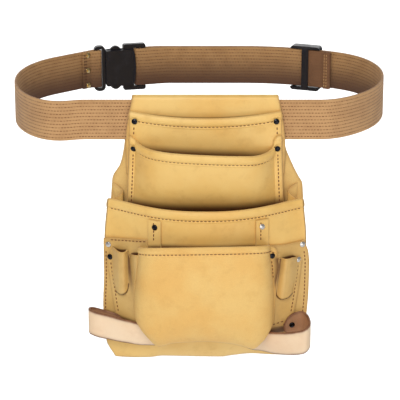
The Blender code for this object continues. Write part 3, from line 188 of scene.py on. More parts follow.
MAIN_SIDES = ((POUCH_FOOT, 0.112), (-0.281, MAIN_HALF_WIDE), (-0.150, MAIN_HALF_WIDE), (MAIN_RIM, 0.118))
MAIN_SIDE_DEPTH = 0.012
MAIN_BULGE = 0.043
MAIN_SQUARE = 2.5
MAIN_SOFT = 1.5
MAIN_FALL = 3.2
MAIN_SIDE_FALL = 8.0
MAIN_FOOT_SHARE = 0.8
GUSSET_RISE = 0.0165
GUSSET_FOOT = -0.240
GUSSET_TOP_SEAM = 0.0055
GUSSET_TOP_FOLD = 0.0105
GUSSET_TOP_DEPTH = 0.036
GUSSET_SEAM = 0.0165
GUSSET_FOLD = 0.0045
GUSSET_ROUND = 1.6
GUSSET_RISE_FALL = 6

# Tabs, tool panels and tool tubes
TAB_WIDTH = 0.0145
TAB_LEFT_X = -0.0612
TAB_RIGHT_X = 0.0682
TAB_TOP = -0.1138
TAB_FOOT = -0.150
TAB_RIVET_Z = -0.1215
TOOL_FOOT = -0.267
TOOL_LEFT_INNER = -0.0702
TOOL_RIGHT_INNER = 0.0767
TOOL_LEFT_TOP = ((-0.1236, -0.1472), (-0.116, -0.1460), (-0.0702, -0.1395))
TOOL_RIGHT_TOP = ((0.0767, -0.1480), (0.0983, -0.1510), (0.112, -0.1508), (0.1196, -0.1490))
TOOL_LEFT_SIDE = ((TOOL_FOOT, 0.1245), (-0.2346, 0.1252), (-0.190, 0.1236), (-0.146, 0.1236))
TOOL_RIGHT_SIDE = ((TOOL_FOOT, 0.1225), (-0.2413, 0.1246), (-0.2161, 0.1261), (-0.1806, 0.1266),
                   (-0.1644, 0.1252), (-0.1519, 0.1208), (-0.146, 0.1196))
TOOL_RIVET = (0.1187, -0.1536)

# Leather over the tool panels: top line, outer side, mouth and lower slit of its tubes
TUBE_LEFT_TOP = ((-0.1204, -0.1690), (-0.1170, -0.1655), (-0.1120, -0.1560), (-0.1050, -0.1575),
                 (-0.0990, -0.1570), (-0.0955, -0.1560), (-0.0938, -0.1600), (-0.0918, -0.1650),
                 (-0.0900, -0.1605), (-0.0858, -0.1580), (-0.0780, -0.1565))
TUBE_LEFT_SIDE = ((-0.2620, -0.1060), (-0.2410, -0.1105), (-0.1960, -0.1165), (-0.1690, -0.1204))
TUBE_LEFT_SLIT = ((-0.1080, -0.2132), (-0.1029, -0.2140), (-0.0976, -0.2109), (-0.0950, -0.2065),
                  (-0.0936, -0.2000))
TUBE_RIGHT_TOP = ((0.0820, -0.1650), (0.0900, -0.1660), (0.0925, -0.1662), (0.1000, -0.1655),
                  (0.1050, -0.1656), (0.1080, -0.1670), (0.1115, -0.1690), (0.1140, -0.1705),
                  (0.1176, -0.1720))
TUBE_RIGHT_SIDE = ((-0.2580, 0.1045), (-0.2365, 0.1095), (-0.2000, 0.1145), (-0.1720, 0.1176))
TUBE_RIGHT_SLIT = ((0.0846, -0.2023), (0.0858, -0.2090), (0.0879, -0.2149), (0.0941, -0.2188),
                   (0.1002, -0.2182), (0.1051, -0.2149))
TUBE_LEFT_MOUTHS = ((-0.1135, -0.0950), (-0.0905, -0.0790))
TUBE_RIGHT_MOUTHS = ((0.0915, 0.1105),)
TUBE_LEFT_RIVET = (-0.1166, -0.1685)
TUBE_RIGHT_RIVET = (0.1138, -0.1715)
# How far the tubes stand off at mouth and slit, and how softly they end beside the slit and at it
TUBE_LIFT = (0.0100, 0.0062)
TUBE_SOFT = (0.022, 0.0010)
TUBE_LEFT = {"mouth": -0.156, "tall": 0.057, "slit": TUBE_LEFT_SLIT, "open_at": -0.112, "open_over": 0.006,
             "seam": -0.1150, "valley": (-0.0938, -0.0938)}
TUBE_RIGHT = {"mouth": -0.164, "tall": 0.055, "slit": TUBE_RIGHT_SLIT, "open_at": 0.1080,
              "open_over": -0.0040, "seam": 0.1150, "valley": (0.0915, 0.0843)}
INNER_TUBE_MOUTH = -0.158
INNER_TUBE_TALL = 0.055
INNER_TUBE_LIFT = (0.0095, 0.0030)
INNER_TUBE_SEAM = -0.0740
INNER_TUBE_VALLEY = (-0.0920, -0.0870)
INNER_TUBE_PEAK = 0.45
INNER_TUBE_END = -0.246
INNER_TUBE_FADE = 0.050
# Painted shade along a slit: points along it, strength and half width
SLIT_POINTS = 160
SLIT_DARK = 1.6
SLIT_HALF = 0.0013
# Painted shade in the valley beside a tube: x at its top, x at its foot, and over how much of the height it
# leans
CREASE_LEFT = (-0.0925, -0.0880, 0.060)
CREASE_RIGHT = (0.0905, 0.0868, 0.050)
CREASE_TOP = -0.165
CREASE_FOOT = -0.225
CREASE_FADE = 0.050
CREASE_HALF = 0.0032
CREASE_DARK = 0.95

# Centre pouch
CENTRE_RIM = -0.139
CENTRE_RIM_TILT = 0.0030
CENTRE_RIM_DROP = 0.30
CENTRE_FLANGE_DROP = 0.0040
CENTRE_FOOT = -0.2700
CENTRE_LEFTS = ((CENTRE_FOOT, -0.0590), (-0.2600, -0.0672), (-0.2463, -0.0787), (-0.2370, -0.0846),
                (-0.2204, -0.0861), (-0.1866, -0.0830), (-0.157, -0.0803), (CENTRE_RIM, -0.0787))
CENTRE_RIGHTS = ((CENTRE_FOOT, 0.0600), (-0.2610, 0.0680), (-0.2501, 0.0775), (-0.2427, 0.0808),
                 (-0.2303, 0.0818), (-0.2126, 0.0818), (-0.1841, 0.0800), (CENTRE_RIM, 0.0748))
CENTRE_LIFTS = ((CENTRE_FOOT, 0.0115), (-0.264, 0.0185), (-0.252, 0.0232), (-0.232, 0.0256),
                (-0.195, 0.0255), (-0.165, 0.0215), (CENTRE_RIM, 0.0165))
CENTRE_FOOT_LINE = ((-0.060, -0.0085), (-0.052, -0.0060), (-0.040, -0.0018), (0.0, 0.0005),
                    (0.030, -0.0020), (0.041, -0.0045), (0.052, -0.0085), (0.060, -0.0115))
CENTRE_FLANGES = ((CENTRE_FOOT, 0.0030), (-0.235, 0.0030), (-0.195, 0.0045), (-0.162, 0.0105),
                  (CENTRE_RIM, 0.0100))
CENTRE_ROUND = 0.55
CENTRE_HANG_FROM = 0.6
FLANGE_STEPS = (0.35, 0.7, 1.0)
# Painted shade on the flange's columns: strength on each, its fade below the hem, where it ends below the
# rim and over how much it fades there
FLANGE_DARK = (0.2, 0.7, 0.9)
FLANGE_DARK_FADE = 0.008
FLANGE_DARK_END = 0.068
FLANGE_DARK_OUT = 0.020
# Four waves that make its wall a little uneven: heading, rate, start
WAVES = ((5.1, 1.0, 9.3), (7.2, 1.37, 10.3), (9.3, 1.74, 11.3), (11.4, 2.11, 12.3))
WAVE_LENGTH = 0.06
WAVE_RISE = 0.0010
WAVE_FROM = 0.02
CENTRE_RIVET = (0.0811, -0.1600)

# Hammer strap
HAMMER_HALF = 0.0152
HAMMER_THICK = 0.003
HAMMER_COVER = 0.012
HAMMER_COVER_FADE = 0.009
HAMMER_LEVELS = ((-0.1430, -0.2492), (-0.123, -0.2555), (-0.112, -0.2582), (-0.095, -0.2628),
                 (-0.078, -0.2665), (-0.060, -0.2660), (-0.040, -0.2575), (0.0, -0.2545),
                 (0.041, -0.2640), (0.0635, -0.2750), (0.0808, -0.2765), (0.0967, -0.2745),
                 (0.1103, -0.2715), (0.1280, -0.2660))
# Each station: x, lift off its seat, rise of the strap's middle line
HAMMER_PATH = ((-0.099, 0.0, 0.0), (-0.117, 0.0, 0.0), (-0.134, 0.0008, 0.0), (-0.1405, 0.0034, 0.0),
               (-0.1426, 0.0080, 0.0), (-0.1402, 0.0126, 0.0), (-0.130, 0.0150, 0.0),
               (-0.110, 0.0112, 0.0), (-0.093, 0.0050, 0.0), (-0.079, 0.0008, 0.0), (-0.062, 0.0, 0.0),
               (0.0, 0.0, 0.0), (0.056, 0.0, 0.0), (0.070, 0.0014, 0.0), (0.0860, 0.0120, 0.0),
               (0.1030, 0.0240, 0.0), (0.1195, 0.0325, 0.0), (0.1262, 0.0290, 0.002),
               (0.1278, 0.0210, 0.005), (0.1250, 0.0105, 0.010), (0.1190, 0.0028, 0.0135),
               (0.110, 0.0, 0.014), (0.098, 0.0, 0.014))
HAMMER_RIVETS = (("left", -0.108, -0.2548), ("right", 0.107, -0.2564))
TAB_ROUND = 0.012
TAB_LEAST = 0.08

# Hems, thread and rivets
HEM_RISE = 0.0021
PRESS_REACH = 0.0030
HEM_DRAW = 0.0007
HEM_STEP = 0.0024
HEM_LEAST = 0.40
DRAW_HALF = 0.0010
UPPER_HEM = 0.0118
MIDDLE_HEM = 0.0122
MAIN_HEM = 0.0125
CENTRE_HEM = 0.0098
THREAD_IN = 0.0021
THREAD_RADIUS = 0.00066
STITCH_PITCH = 0.0047
STITCH_LENGTH = 0.0035
# Along a stitch: share of its length, width and lift in thread radii
STITCH_LEVELS = ((-0.50, 0.45, -0.55), (-0.32, 0.90, 0.25), (0.0, 1.0, 0.50), (0.32, 0.90, 0.25),
                 (0.50, 0.45, -0.55))
STITCH_SIDES = 6
# Stitches across the webbing
UPRIGHT_END = 0.0025
UPRIGHT_PITCH = 0.0038
UPRIGHT_LENGTH = 0.0028
RIVET_CAP = 0.0036
RIVET_HEIGHT = 0.0019
RIVET_SIDES = 24
# Below the tip of a rivet's cap: share of its radius, share of its height
RIVET_PROFILE = ((0.30, 0.97), (0.55, 0.86), (0.72, 0.70), (0.80, 0.62), (0.90, 0.62), (0.98, 0.50),
                 (1.0, 0.30), (0.98, 0.05), (0.90, -0.04), (0.46, -0.06))
RIVET_POST_DEPTH = 0.0040
UPPER_RIVET_Z = 0.001
UPPER_RIVET_IN = 0.005
MIDDLE_RIVET_Z = -0.0325
MIDDLE_RIVET_IN = 0.0042
EDGE_FADE = 0.0012
EDGE_RINGS = 3
LEAN_LIMIT = 2.0

# Seams: from and to, and how far they lie in from an edge
SEAM_IN = 0.0045
PANEL_SEAM = (-0.100, -0.285)
UPPER_SEAM_END = 0.008
UPPER_SIDE_SEAM = (-0.0055, -0.0165)
MIDDLE_RIM_SEAM = (-0.0840, 0.0785)
MIDDLE_SIDE_SEAM = (-0.0395, -0.1120)
MIDDLE_SEAM_IN = 0.0040
MAIN_RIM_SEAM = (-0.1160, 0.1160)
TAB_SEAM_DOWN = 0.0015
TAB_SEAM_ASIDE = 0.0014
TOOL_SEAM = (-0.162, TOOL_FOOT + 0.004)
TOOL_LEFT_SEAM_IN = 0.0018
TOOL_RIGHT_SEAM_IN = 0.0040
TOOL_TOP_SEAM = (-0.1165, -0.0720)
TOOL_TOP_SEAM_IN = 0.0014
TUBE_SEAM_DOWN = 0.006
TUBE_SEAM_FOOT = -0.240
TUBE_SEAM_IN = 0.0035
TUBE_FOOT_SEAM = ((0.0820, 0.0970), (-0.2545, -0.2510))
CENTRE_SEAM_SKIP = 10
CENTRE_SIDE_SEAM = (-0.166, -0.190)
CENTRE_SIDE_SEAM_OUT = 0.0022

# Painted shade behind a rim: reach above and below the rim, and from side to side
UPPER_SHADE = (0.0010, 0.0020)
UPPER_SHADE_SIDES = (-0.0855, 0.0855)
MIDDLE_SHADE = (0.0030, 0.0090)
MIDDLE_SHADE_SIDES = (-0.0835, 0.0815)
MAIN_SHADE = (0.0060, 0.0060)
PANEL_SHADE = (0.0040, 0.0160)
PANEL_SHADE_SIDES = (-0.1080, 0.1100)
PANEL_SHADE_SHARE = 0.75
CENTRE_SHADE = (0.0005, 0.0050)
CENTRE_SHADE_SIDES = (-0.0775, 0.0735)
CENTRE_SHADE_FOOT = -0.22
CENTRE_SHADE_DROP = 0.0010
CENTRE_SHADE_SAG = 0.0070
CENTRE_SHADE_HALF = 0.078
TUBE_SHADE = (0.0012, 0.0010)
TUBE_SHADE_SOFT = 0.0015
TUBE_SHADE_FOOT = -0.20
SHADE_FADE = 0.02
STRAP_SHADE = (0.0030, 0.0025)
STRAP_SHADE_SHARE = 0.90
# The shade below the centre pouch's foot
BELOW_SHADE_SHARE = 0.50
BELOW_SHADE_SIDES = (-0.058, 0.060)
BELOW_SHADE_REACH = 0.0090
BELOW_SHADE_FADE = 0.0060
BELOW_SHADE_TOP = 0.02
BELOW_SHADE_TOP_FADE = 0.01

# Camera and light
CAMERA_AIM = Vector((0.0, -0.135, -0.102))
CAMERA_RISE = math.radians(18.27)
CAMERA_DISTANCE = 2.519
CAMERA_LENS = 185.2
CAMERA_SENSOR = 36.0
FLOOR_LEVEL = -1.0
FLOOR_REACH = 8.0
FLOOR_TONE = (0.95, 0.95, 0.95, 1.0)
FLOOR_ROUGH = 0.9
SKY_TONE = (1.0, 1.0, 1.0, 1.0)
SKY_STRENGTH = 0.32
# Each lamp: name, place, size, power, aim
LAMPS = (("key", (-0.45, -2.5, 1.6), (1.5, 1.5), 49.0, CAMERA_AIM),
         ("fill", (0.9, -2.2, -0.6), (1.6, 1.6), 12.0, CAMERA_AIM),
         ("backdrop", (0.0, 3.4, 1.2), (6.0, 4.4), 150.0, Vector((0.0, 3.4, FLOOR_LEVEL))))

SIDES = (("left", -1), ("right", 1))

# Worked out from the sizes above
FRONT_Y = -LOOP_DEPTH / 2
BACK_Y = LOOP_DEPTH / 2
STRAP_HALF = STRAP_WIDTH / 2
STRAP_SIDE = STRAP_THICK / 2
LAYER_STEP = STRAP_THICK + STRAP_GAP
BACK_ARC_CENTRE = Vector((BACK_ARC_X, BACK_Y - BACK_ARC_RADIUS))
PANEL_FRONT_Y = FRONT_Y + STRAP_SIDE + TUNNEL_BACK_CLEAR
FLAP_BACK = TUNNEL_BACK_CLEAR + STRAP_THICK + TUNNEL_FRONT_CLEAR


# Finishes

def tone(red, green, blue):
    # A colour as it is seen on a screen, turned into light.
    shares = []
    for part in (red, green, blue):
        share = part / 255.0
        shares.append(share / 12.92 if share <= 0.04045 else ((share + 0.055) / 1.055) ** 2.4)
    return (*shares, 1.0)


def as_input(value):
    return tone(*value) if isinstance(value, tuple) else value


class Wiring:
    # Short calls that place and join the nodes of one tree.
    def __init__(self, tree):
        self.tree = tree

    def place(self, kind, feeds=None, **settings):
        node = self.tree.nodes.new(kind)
        for name, value in settings.items():
            setattr(node, name, value)
        for name, value in (feeds or {}).items():
            self.feed(node.inputs[name], value)
        return node

    def feed(self, socket, value):
        if isinstance(value, bpy.types.NodeSocket):
            self.tree.links.new(value, socket)
        else:
            socket.default_value = value

    def sum(self, operation, first, second=0.0, third=0.0):
        node = self.place("ShaderNodeMath", {0: first, 1: second, 2: third}, operation=operation)
        return node.outputs[0]

    def times(self, first, second):
        return self.sum("MULTIPLY", first, second)

    def tint(self, colour, other, mask, share):
        # The colour, turned towards another by a share of the mask.
        feeds = {0: self.times(mask, share), 6: colour, 7: other}
        return self.place("ShaderNodeMix", feeds, data_type="RGBA").outputs[2]

    def between(self, value, low, high, first=0.0, last=1.0):
        feeds = {"Value": value, "From Min": low, "From Max": high, "To Min": first, "To Max": last}
        node = self.place("ShaderNodeMapRange", feeds, interpolation_type="SMOOTHSTEP")
        return node.outputs[0]

    def cloud(self, vector, scale, detail=3.0, rough=0.55):
        feeds = {"Vector": vector, "Scale": scale, "Detail": detail, "Roughness": rough}
        return self.place("ShaderNodeTexNoise", feeds).outputs[0]

    def cells(self, vector, scale):
        feeds = {"Vector": vector, "Scale": scale}
        return self.place("ShaderNodeTexVoronoi", feeds, feature="SMOOTH_F1").outputs["Distance"]


def start_group(name, inputs):
    # A group of nodes that puts out a colour, a roughness and a height.
    tree = bpy.data.node_groups.new(name, "ShaderNodeTree")
    for label, value in inputs.items():
        kind = "NodeSocketColor" if isinstance(value, tuple) else "NodeSocketFloat"
        tree.interface.new_socket(label, in_out="INPUT", socket_type=kind).default_value = as_input(value)
    tree.interface.new_socket("Colour", in_out="OUTPUT", socket_type="NodeSocketColor")
    for label in ("Roughness", "Height"):
        tree.interface.new_socket(label, in_out="OUTPUT", socket_type="NodeSocketFloat")
    wiring = Wiring(tree)
    return wiring, wiring.place("NodeGroupInput").outputs


def end_group(w, colour, rough, height):
    w.place("NodeGroupOutput", {"Colour": colour, "Roughness": rough, "Height": height})
    return w.tree


def hide_group():
    # Leather: clouded tone, pebbled grain, darker cut edges, and painted shade in the depths of the pockets
    # and gaps.
    inputs = {"Light": (239, 198, 118), "Warm": (233, 182, 94), "Shade": (198, 148, 77),
              "Cut edge": (168, 120, 64), "Painted shade": (76, 34, 12), "Cloud scale": 13.0, "Grain scale": 900.0,
              "Nap": 0.0}
    w, entry = start_group("hide_grain", inputs)
    spot = w.place("ShaderNodeTexCoord").outputs["Object"]
    edge = w.place("ShaderNodeAttribute", attribute_name="edge_near").outputs["Fac"]
    painted_shade = w.place("ShaderNodeAttribute", attribute_name="painted_shade").outputs["Fac"]
    clouds = w.between(w.cloud(spot, entry["Cloud scale"], 4.0), 0.36, 0.66)
    patches = w.between(w.cloud(spot, w.times(entry["Cloud scale"], 4.3), 5.0, 0.62), 0.48, 0.78)
    fine = w.cloud(spot, w.times(entry["Grain scale"], 2.3), 2.0)
    grain = w.cells(spot, entry["Grain scale"])
    crease = w.between(w.cloud(spot, w.times(entry["Grain scale"], 0.12), 4.0, 0.7), 0.55, 0.75)
    wear = w.between(w.cloud(spot, 90.0), 0.30, 0.65, 0.55, 0.90)
    colour = w.tint(entry["Light"], entry["Warm"], clouds, 0.70)
    colour = w.tint(colour, entry["Shade"], patches, 0.26)
    colour = w.tint(colour, entry["Shade"], crease, 0.14)
    colour = w.tint(colour, entry["Shade"], w.between(fine, 0.35, 0.65), w.times(entry["Nap"], 0.42))
    colour = w.tint(colour, entry["Cut edge"], edge, wear)
    colour = w.tint(colour, entry["Painted shade"], painted_shade, 0.93)
    height = w.sum("ADD", w.times(grain, 0.55), w.times(fine, 0.45))
    height = w.sum("SUBTRACT", height, w.times(crease, 0.30))
    rough = w.sum("ADD", w.between(patches, 0.0, 1.0, 0.48, 0.62), w.times(entry["Nap"], 0.28))
    return end_group(w, colour, rough, height)


def weave_group():
    # Webbing: fine yarns, lengthwise rows of short dashes, soiling, and painted shade that darkens it
    # towards its lower edge. The map is in units of 0.1 m.
    inputs = {"Yarn": (209, 163, 111), "Dash": (110, 68, 38), "Shade": (172, 127, 82), "Painted shade": (84, 56, 39),
              "Low shade share": 0.0, "Mark share": 1.0, "Row pitch": ROW_PITCH * MAP_SCALE, "Dash pitch": 0.037,
              "Yarn pitch": 0.0105}
    w, entry = start_group("webbing_weave", inputs)
    spot = w.place("ShaderNodeTexCoord").outputs["UV"]
    parts = w.place("ShaderNodeSeparateXYZ", {"Vector": spot}).outputs
    along, across = parts[0], parts[1]
    row = w.sum("DIVIDE", w.sum("SUBTRACT", across, STRAP_HALF * MAP_SCALE), entry["Row pitch"])
    nearest = w.sum("ROUND", row)
    in_row = w.between(w.sum("ABSOLUTE", w.sum("SUBTRACT", row, nearest)), 0.07, 0.18, 1.0, 0.0)
    dash = w.sum("ADD", w.sum("DIVIDE", along, entry["Dash pitch"]), w.times(nearest, 0.37))
    dash_off = w.sum("ABSOLUTE", w.sum("SUBTRACT", w.sum("FRACT", dash), 0.5))
    in_dash = w.between(dash_off, 0.27, 0.37, 1.0, 0.0)
    turn = w.sum("DIVIDE", 2 * math.pi, entry["Yarn pitch"])
    warp = w.sum("SINE", w.times(along, turn))
    weft = w.sum("SINE", w.times(across, w.times(turn, 0.8)))
    yarn = w.between(w.times(warp, weft), -0.9, 0.9)
    dirt = w.between(w.cloud(spot, 5.0, 4.0), 0.38, 0.70)
    fray = w.cloud(spot, 220.0)
    broken = w.between(w.cloud(spot, 34.0, 2.0), 0.34, 0.60, 0.35, 1.0)
    marks = w.times(in_row, w.between(in_dash, 0.0, 1.0, 0.06, 1.0))
    # Painted shade: darker towards the webbing's lower edge.
    low = w.between(across, 0.0, STRAP_WIDTH * MAP_SCALE, 1.0, 0.0)
    colour = w.tint(entry["Yarn"], entry["Shade"], yarn, 0.30)
    colour = w.tint(colour, entry["Shade"], dirt, 0.40)
    colour = w.tint(colour, entry["Shade"], w.between(fray, 0.45, 0.75), 0.34)
    colour = w.tint(colour, entry["Dash"], marks, w.times(broken, entry["Mark share"]))
    colour = w.tint(colour, entry["Painted shade"], low, entry["Low shade share"])
    height = w.sum("ADD", w.times(yarn, 0.5), w.times(fray, 0.4))
    height = w.sum("SUBTRACT", height, w.times(in_row, 0.3))
    return end_group(w, colour, w.between(fray, 0.2, 0.8, 0.78, 0.95), height)


def hard_group():
    # Moulded plastic, plated metal and thread: fine texture, handling marks.
    inputs = {"Main": (38, 38, 40), "Rubbed": (70, 70, 72), "Rub scale": 60.0, "Fine scale": 1500.0,
              "Gloss": 0.40, "Dull": 0.58}
    w, entry = start_group("handled_surface", inputs)
    spot = w.place("ShaderNodeTexCoord").outputs["Object"]
    rub = w.between(w.cloud(spot, entry["Rub scale"], 5.0, 0.65), 0.50, 0.76)
    colour = w.tint(entry["Main"], entry["Rubbed"], rub, 0.55)
    spread = w.sum("SUBTRACT", entry["Dull"], entry["Gloss"])
    rough = w.sum("MULTIPLY_ADD", rub, spread, entry["Gloss"])
    return end_group(w, colour, rough, w.cloud(spot, entry["Fine scale"], 2.0))


HIDE = hide_group()
WEAVE = weave_group()
HANDLED = hard_group()


def make_finish(name, group, values, bump, bump_depth, fixed=None):
    material = bpy.data.materials.new(name)
    material.use_nodes = True
    w = Wiring(material.node_tree)
    surface = w.place("ShaderNodeGroup", node_tree=group)
    for label, value in values.items():
        surface.inputs[label].default_value = as_input(value)
    feeds = {"Strength": bump, "Distance": bump_depth, "Height": surface.outputs["Height"]}
    raised = w.place("ShaderNodeBump", feeds)
    shader = material.node_tree.nodes["Principled BSDF"].inputs
    w.feed(shader["Base Color"], surface.outputs["Colour"])
    w.feed(shader["Roughness"], surface.outputs["Roughness"])
    w.feed(shader["Normal"], raised.outputs["Normal"])
    for label, value in (fixed or {}).items():
        shader[label].default_value = value
    return material


def thread_finish(name, main, rubbed):
    values = {"Main": main, "Rubbed": rubbed, "Rub scale": 400.0, "Fine scale": 4000.0, "Gloss": 0.60,
              "Dull": 0.80}
    return make_finish(name, HANDLED, values, 0.50, 0.0003)


def rivet_kind(metal, main, rubbed, gloss, dull, metallic=1.0):
    # A kind of rivet: its finish and its slot.
    values = {"Main": main, "Rubbed": rubbed, "Rub scale": 260.0, "Gloss": gloss, "Dull": dull}
    finish = make_finish(metal + "_rivet_metal", HANDLED, values, 0.08, 0.0002, {"Metallic": metallic})
    return finish, "rivet_" + metal


BUFF = make_finish("buff_leather", HIDE, {}, 0.30, 0.0004)
# The same leather as the buff, a darker copy as painted shade on the tool panels and their tubes.
SHADED_BUFF = make_finish("buff_leather_painted_shade", HIDE, {
    "Light": (216, 178, 108), "Warm": (210, 164, 88), "Shade": (172, 128, 66)}, 0.35, 0.0004)
FLESH = make_finish("leather_inside", HIDE, {
    "Light": (231, 193, 118), "Warm": (225, 177, 96), "Shade": (190, 142, 76), "Nap": 0.8},
    0.55, 0.0005, {"Sheen Weight": 0.10})
SUEDE = make_finish("split_leather", HIDE, {
    "Light": (240, 200, 121), "Warm": (236, 183, 98), "Shade": (205, 150, 80), "Cloud scale": 15.0,
    "Grain scale": 800.0, "Nap": 0.7}, 0.80, 0.0006)
PALE = make_finish("pale_leather", HIDE, {
    "Light": (241, 214, 180), "Warm": (234, 200, 162), "Shade": (214, 174, 136), "Cut edge": (120, 78, 50),
    "Cloud scale": 20.0, "Grain scale": 700.0}, 0.20, 0.0003)
# The hammer strap's back and edges: a browner flesh side, darkened further as painted shade inside its
# loops.
PALE_INSIDE_AND_SHADE = make_finish("pale_leather_inside_and_painted_shade", HIDE, {
    "Light": (192, 145, 106), "Warm": (178, 130, 92), "Shade": (134, 92, 60), "Cut edge": (112, 70, 44),
    "Cloud scale": 24.0, "Nap": 0.6}, 0.45, 0.0005)
WEBBING = make_finish("tan_webbing", WEAVE, {}, 0.60, 0.0005, {"Sheen Weight": 0.10})
# The webbing's faces inside the loop: a darker copy as painted shade, darker still towards the lower edge.
WEBBING_INNER_SHADED = make_finish("tan_webbing_inner_painted_shade", WEAVE, {
    "Yarn": (186, 145, 96), "Dash": (86, 54, 34), "Shade": (144, 104, 66), "Low shade share": 1.0,
    "Mark share": 0.9}, 0.60, 0.0005)
# The tail: darker and plainer, its lower edge a little darker as painted shade.
WEBBING_TAIL = make_finish("tan_webbing_tail", WEAVE, {
    "Yarn": (128, 90, 60), "Dash": (96, 64, 40), "Shade": (102, 70, 45), "Low shade share": 0.35,
    "Mark share": 0.20}, 0.45, 0.0004)
THREAD = thread_finish("brown_thread", (120, 68, 28), (156, 100, 50))
PALE_THREAD = thread_finish("pale_thread", (182, 142, 92), (206, 170, 120))
DARK_THREAD = thread_finish("dark_thread", (76, 46, 27), (108, 72, 42))
PLASTIC = make_finish("black_plastic", HANDLED, {
    "Main": (27, 28, 35), "Rubbed": (44, 44, 50), "Gloss": 0.34, "Dull": 0.52}, 0.12, 0.0002,
    {"Specular IOR Level": 0.22})
DARK_RIVET = rivet_kind("dark", (36, 36, 40), (84, 82, 80), 0.22, 0.42, 0.9)
BRIGHT_RIVET = rivet_kind("bright", (214, 210, 204), (170, 164, 156), 0.22, 0.45)
BRASS_RIVET = rivet_kind("brass", (192, 170, 122), (124, 102, 64), 0.18, 0.36)


# Shape helpers

def mix(low, high, share):
    return low + (high - low) * share


def ease(share):
    share = np.clip(share, 0.0, 1.0)
    return share * share * (3.0 - 2.0 * share)


def smooth_through(value, stations):
    # A smooth curve through stations in rising order, without overshoot, level past its ends.
    spots, sizes = np.array(stations, float).T
    value = np.clip(np.asarray(value, float), spots[0], spots[-1])
    steps = np.diff(spots)
    slopes = np.diff(sizes) / steps
    agree = slopes[:-1] * slopes[1:] > 0.0
    middle = 2 * slopes[:-1] * slopes[1:] / np.where(agree, slopes[:-1] + slopes[1:], 1.0)
    leans = np.concatenate((slopes[:1], np.where(agree, middle, 0.0), slopes[-1:]))
    index = np.clip(np.searchsorted(spots, value, side="right") - 1, 0, len(steps) - 1)
    t = (value - spots[index]) / steps[index]
    near = (1 + 2 * t) * sizes[index] + t * steps[index] * leans[index]
    far = (3 - 2 * t) * sizes[index + 1] + (t - 1) * steps[index] * leans[index + 1]
    return near * (1 - t) ** 2 + far * t * t


def waver(x, z):
    # Gentle unevenness between -1 and 1, the same on every run.
    total = 0.0
    for angle, rate, start in WAVES:
        along = x * math.cos(angle) + z * math.sin(angle)
        total = total + np.sin(along * 2 * math.pi / WAVE_LENGTH * rate + start)
    return total / len(WAVES)


def direction(angle):
    return Vector((math.cos(angle), math.sin(angle)))


def bend(start, start_angle, end, end_angle, steps):
    # Points of a smooth curve between two headings, without its first point.
    turn = abs(end_angle - start_angle)
    reach = (end - start).length * 2.0 / 3.0 * math.tan(turn / 4.0) / math.sin(turn / 2.0)
    first = start + direction(start_angle) * reach
    last = end - direction(end_angle) * reach
    points = []
    for step in range(1, steps + 1):
        t = step / steps
        s = 1.0 - t
        points.append(s ** 3 * start + 3 * s * s * t * first + 3 * s * t * t * last + t ** 3 * end)
    return points


def run(start, end, steps):
    return [start + (end - start) * (step / steps) for step in range(1, steps + 1)]


def smooth_line(stations, steps):
    # Catmull-Rom curve through the stations.
    ends = [stations[0]] + list(stations) + [stations[-1]]
    points = []
    for a, b, c, d in zip(ends, ends[1:], ends[2:], ends[3:]):
        for step in range(steps):
            t = step / steps
            points.append([
                0.5 * (2 * q + (r - p) * t + (2 * p - 5 * q + 4 * r - s) * t * t
                       + (3 * q - p - 3 * r + s) * t ** 3)
                for p, q, r, s in zip(a, b, c, d)])
    points.append(list(stations[-1]))
    return np.array(points)


def unit(vectors):
    return vectors / np.linalg.norm(vectors, axis=-1, keepdims=True)


def reach_along(line):
    # How far along a line each of its points lies.
    return np.concatenate(([0.0], np.cumsum(np.linalg.norm(np.diff(line, axis=0), axis=1))))


def offset_points(line, distance):
    # A line of points in a plane, moved to its left.
    heading = unit(np.gradient(line, axis=0))
    return line + np.stack((-heading[:, 1], heading[:, 0]), axis=1) * distance


# Mesh helpers

def around(sides):
    # Cosine and sine of evenly spread directions.
    angles = [2 * math.pi * side / sides for side in range(sides)]
    return [(math.cos(angle), math.sin(angle)) for angle in angles]


def ring_faces(rings, sides, base=0):
    # Faces between rings of points that follow one another.
    faces = []
    for ring in range(rings - 1):
        here = base + ring * sides
        for side in range(sides):
            following = (side + 1) % sides
            faces.append((here + side, here + following, here + sides + following, here + sides + side))
    return faces


def tube_faces(rings, sides, base=0):
    # The same, and the two ends.
    last = base + (rings - 1) * sides
    ends = [tuple(range(base, base + sides)), tuple(range(last, last + sides))]
    return ring_faces(rings, sides, base) + ends


def finish_piece(name, points, faces, finishes, body, nodes=(), choice=None):
    # Makes the object, turns its faces out, and puts it on its body in place of its solids.
    mesh = bpy.data.meshes.new(name)
    mesh.from_pydata([tuple(point) for point in points], [], faces)
    for finish in finishes:
        mesh.materials.append(finish)
    if choice is not None:
        mesh.polygons.foreach_set("material_index", choice)
    shape = bmesh.new()
    shape.from_mesh(mesh)
    bmesh.ops.recalc_face_normals(shape, faces=shape.faces)
    shape.to_mesh(mesh)
    shape.free()
    mesh.shade_smooth()
    piece = bpy.data.objects.new(name, mesh)
    bpy.context.collection.objects.link(piece)
    if nodes:
        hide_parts(*nodes)
    if body:
        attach(piece, body)
    return piece


def edge_nearness(grid, raw):
    # How near each point is to a raw edge. Raw tells how far the first and last row, and the first and
    # last column, show as cut.
    near = np.zeros(grid.shape[:2])
    for axis in (0, 1):
        steps = np.linalg.norm(np.diff(grid, axis=axis), axis=2)
        reached = np.insert(np.cumsum(steps, axis=axis), 0, 0.0, axis=axis)
        left = np.take(reached, [-1], axis=axis) - reached
        for strength, far in zip(raw[2 * axis:2 * axis + 2], (reached, left)):
            near = np.maximum(near, strength * np.exp(-far / EDGE_FADE))
    return near


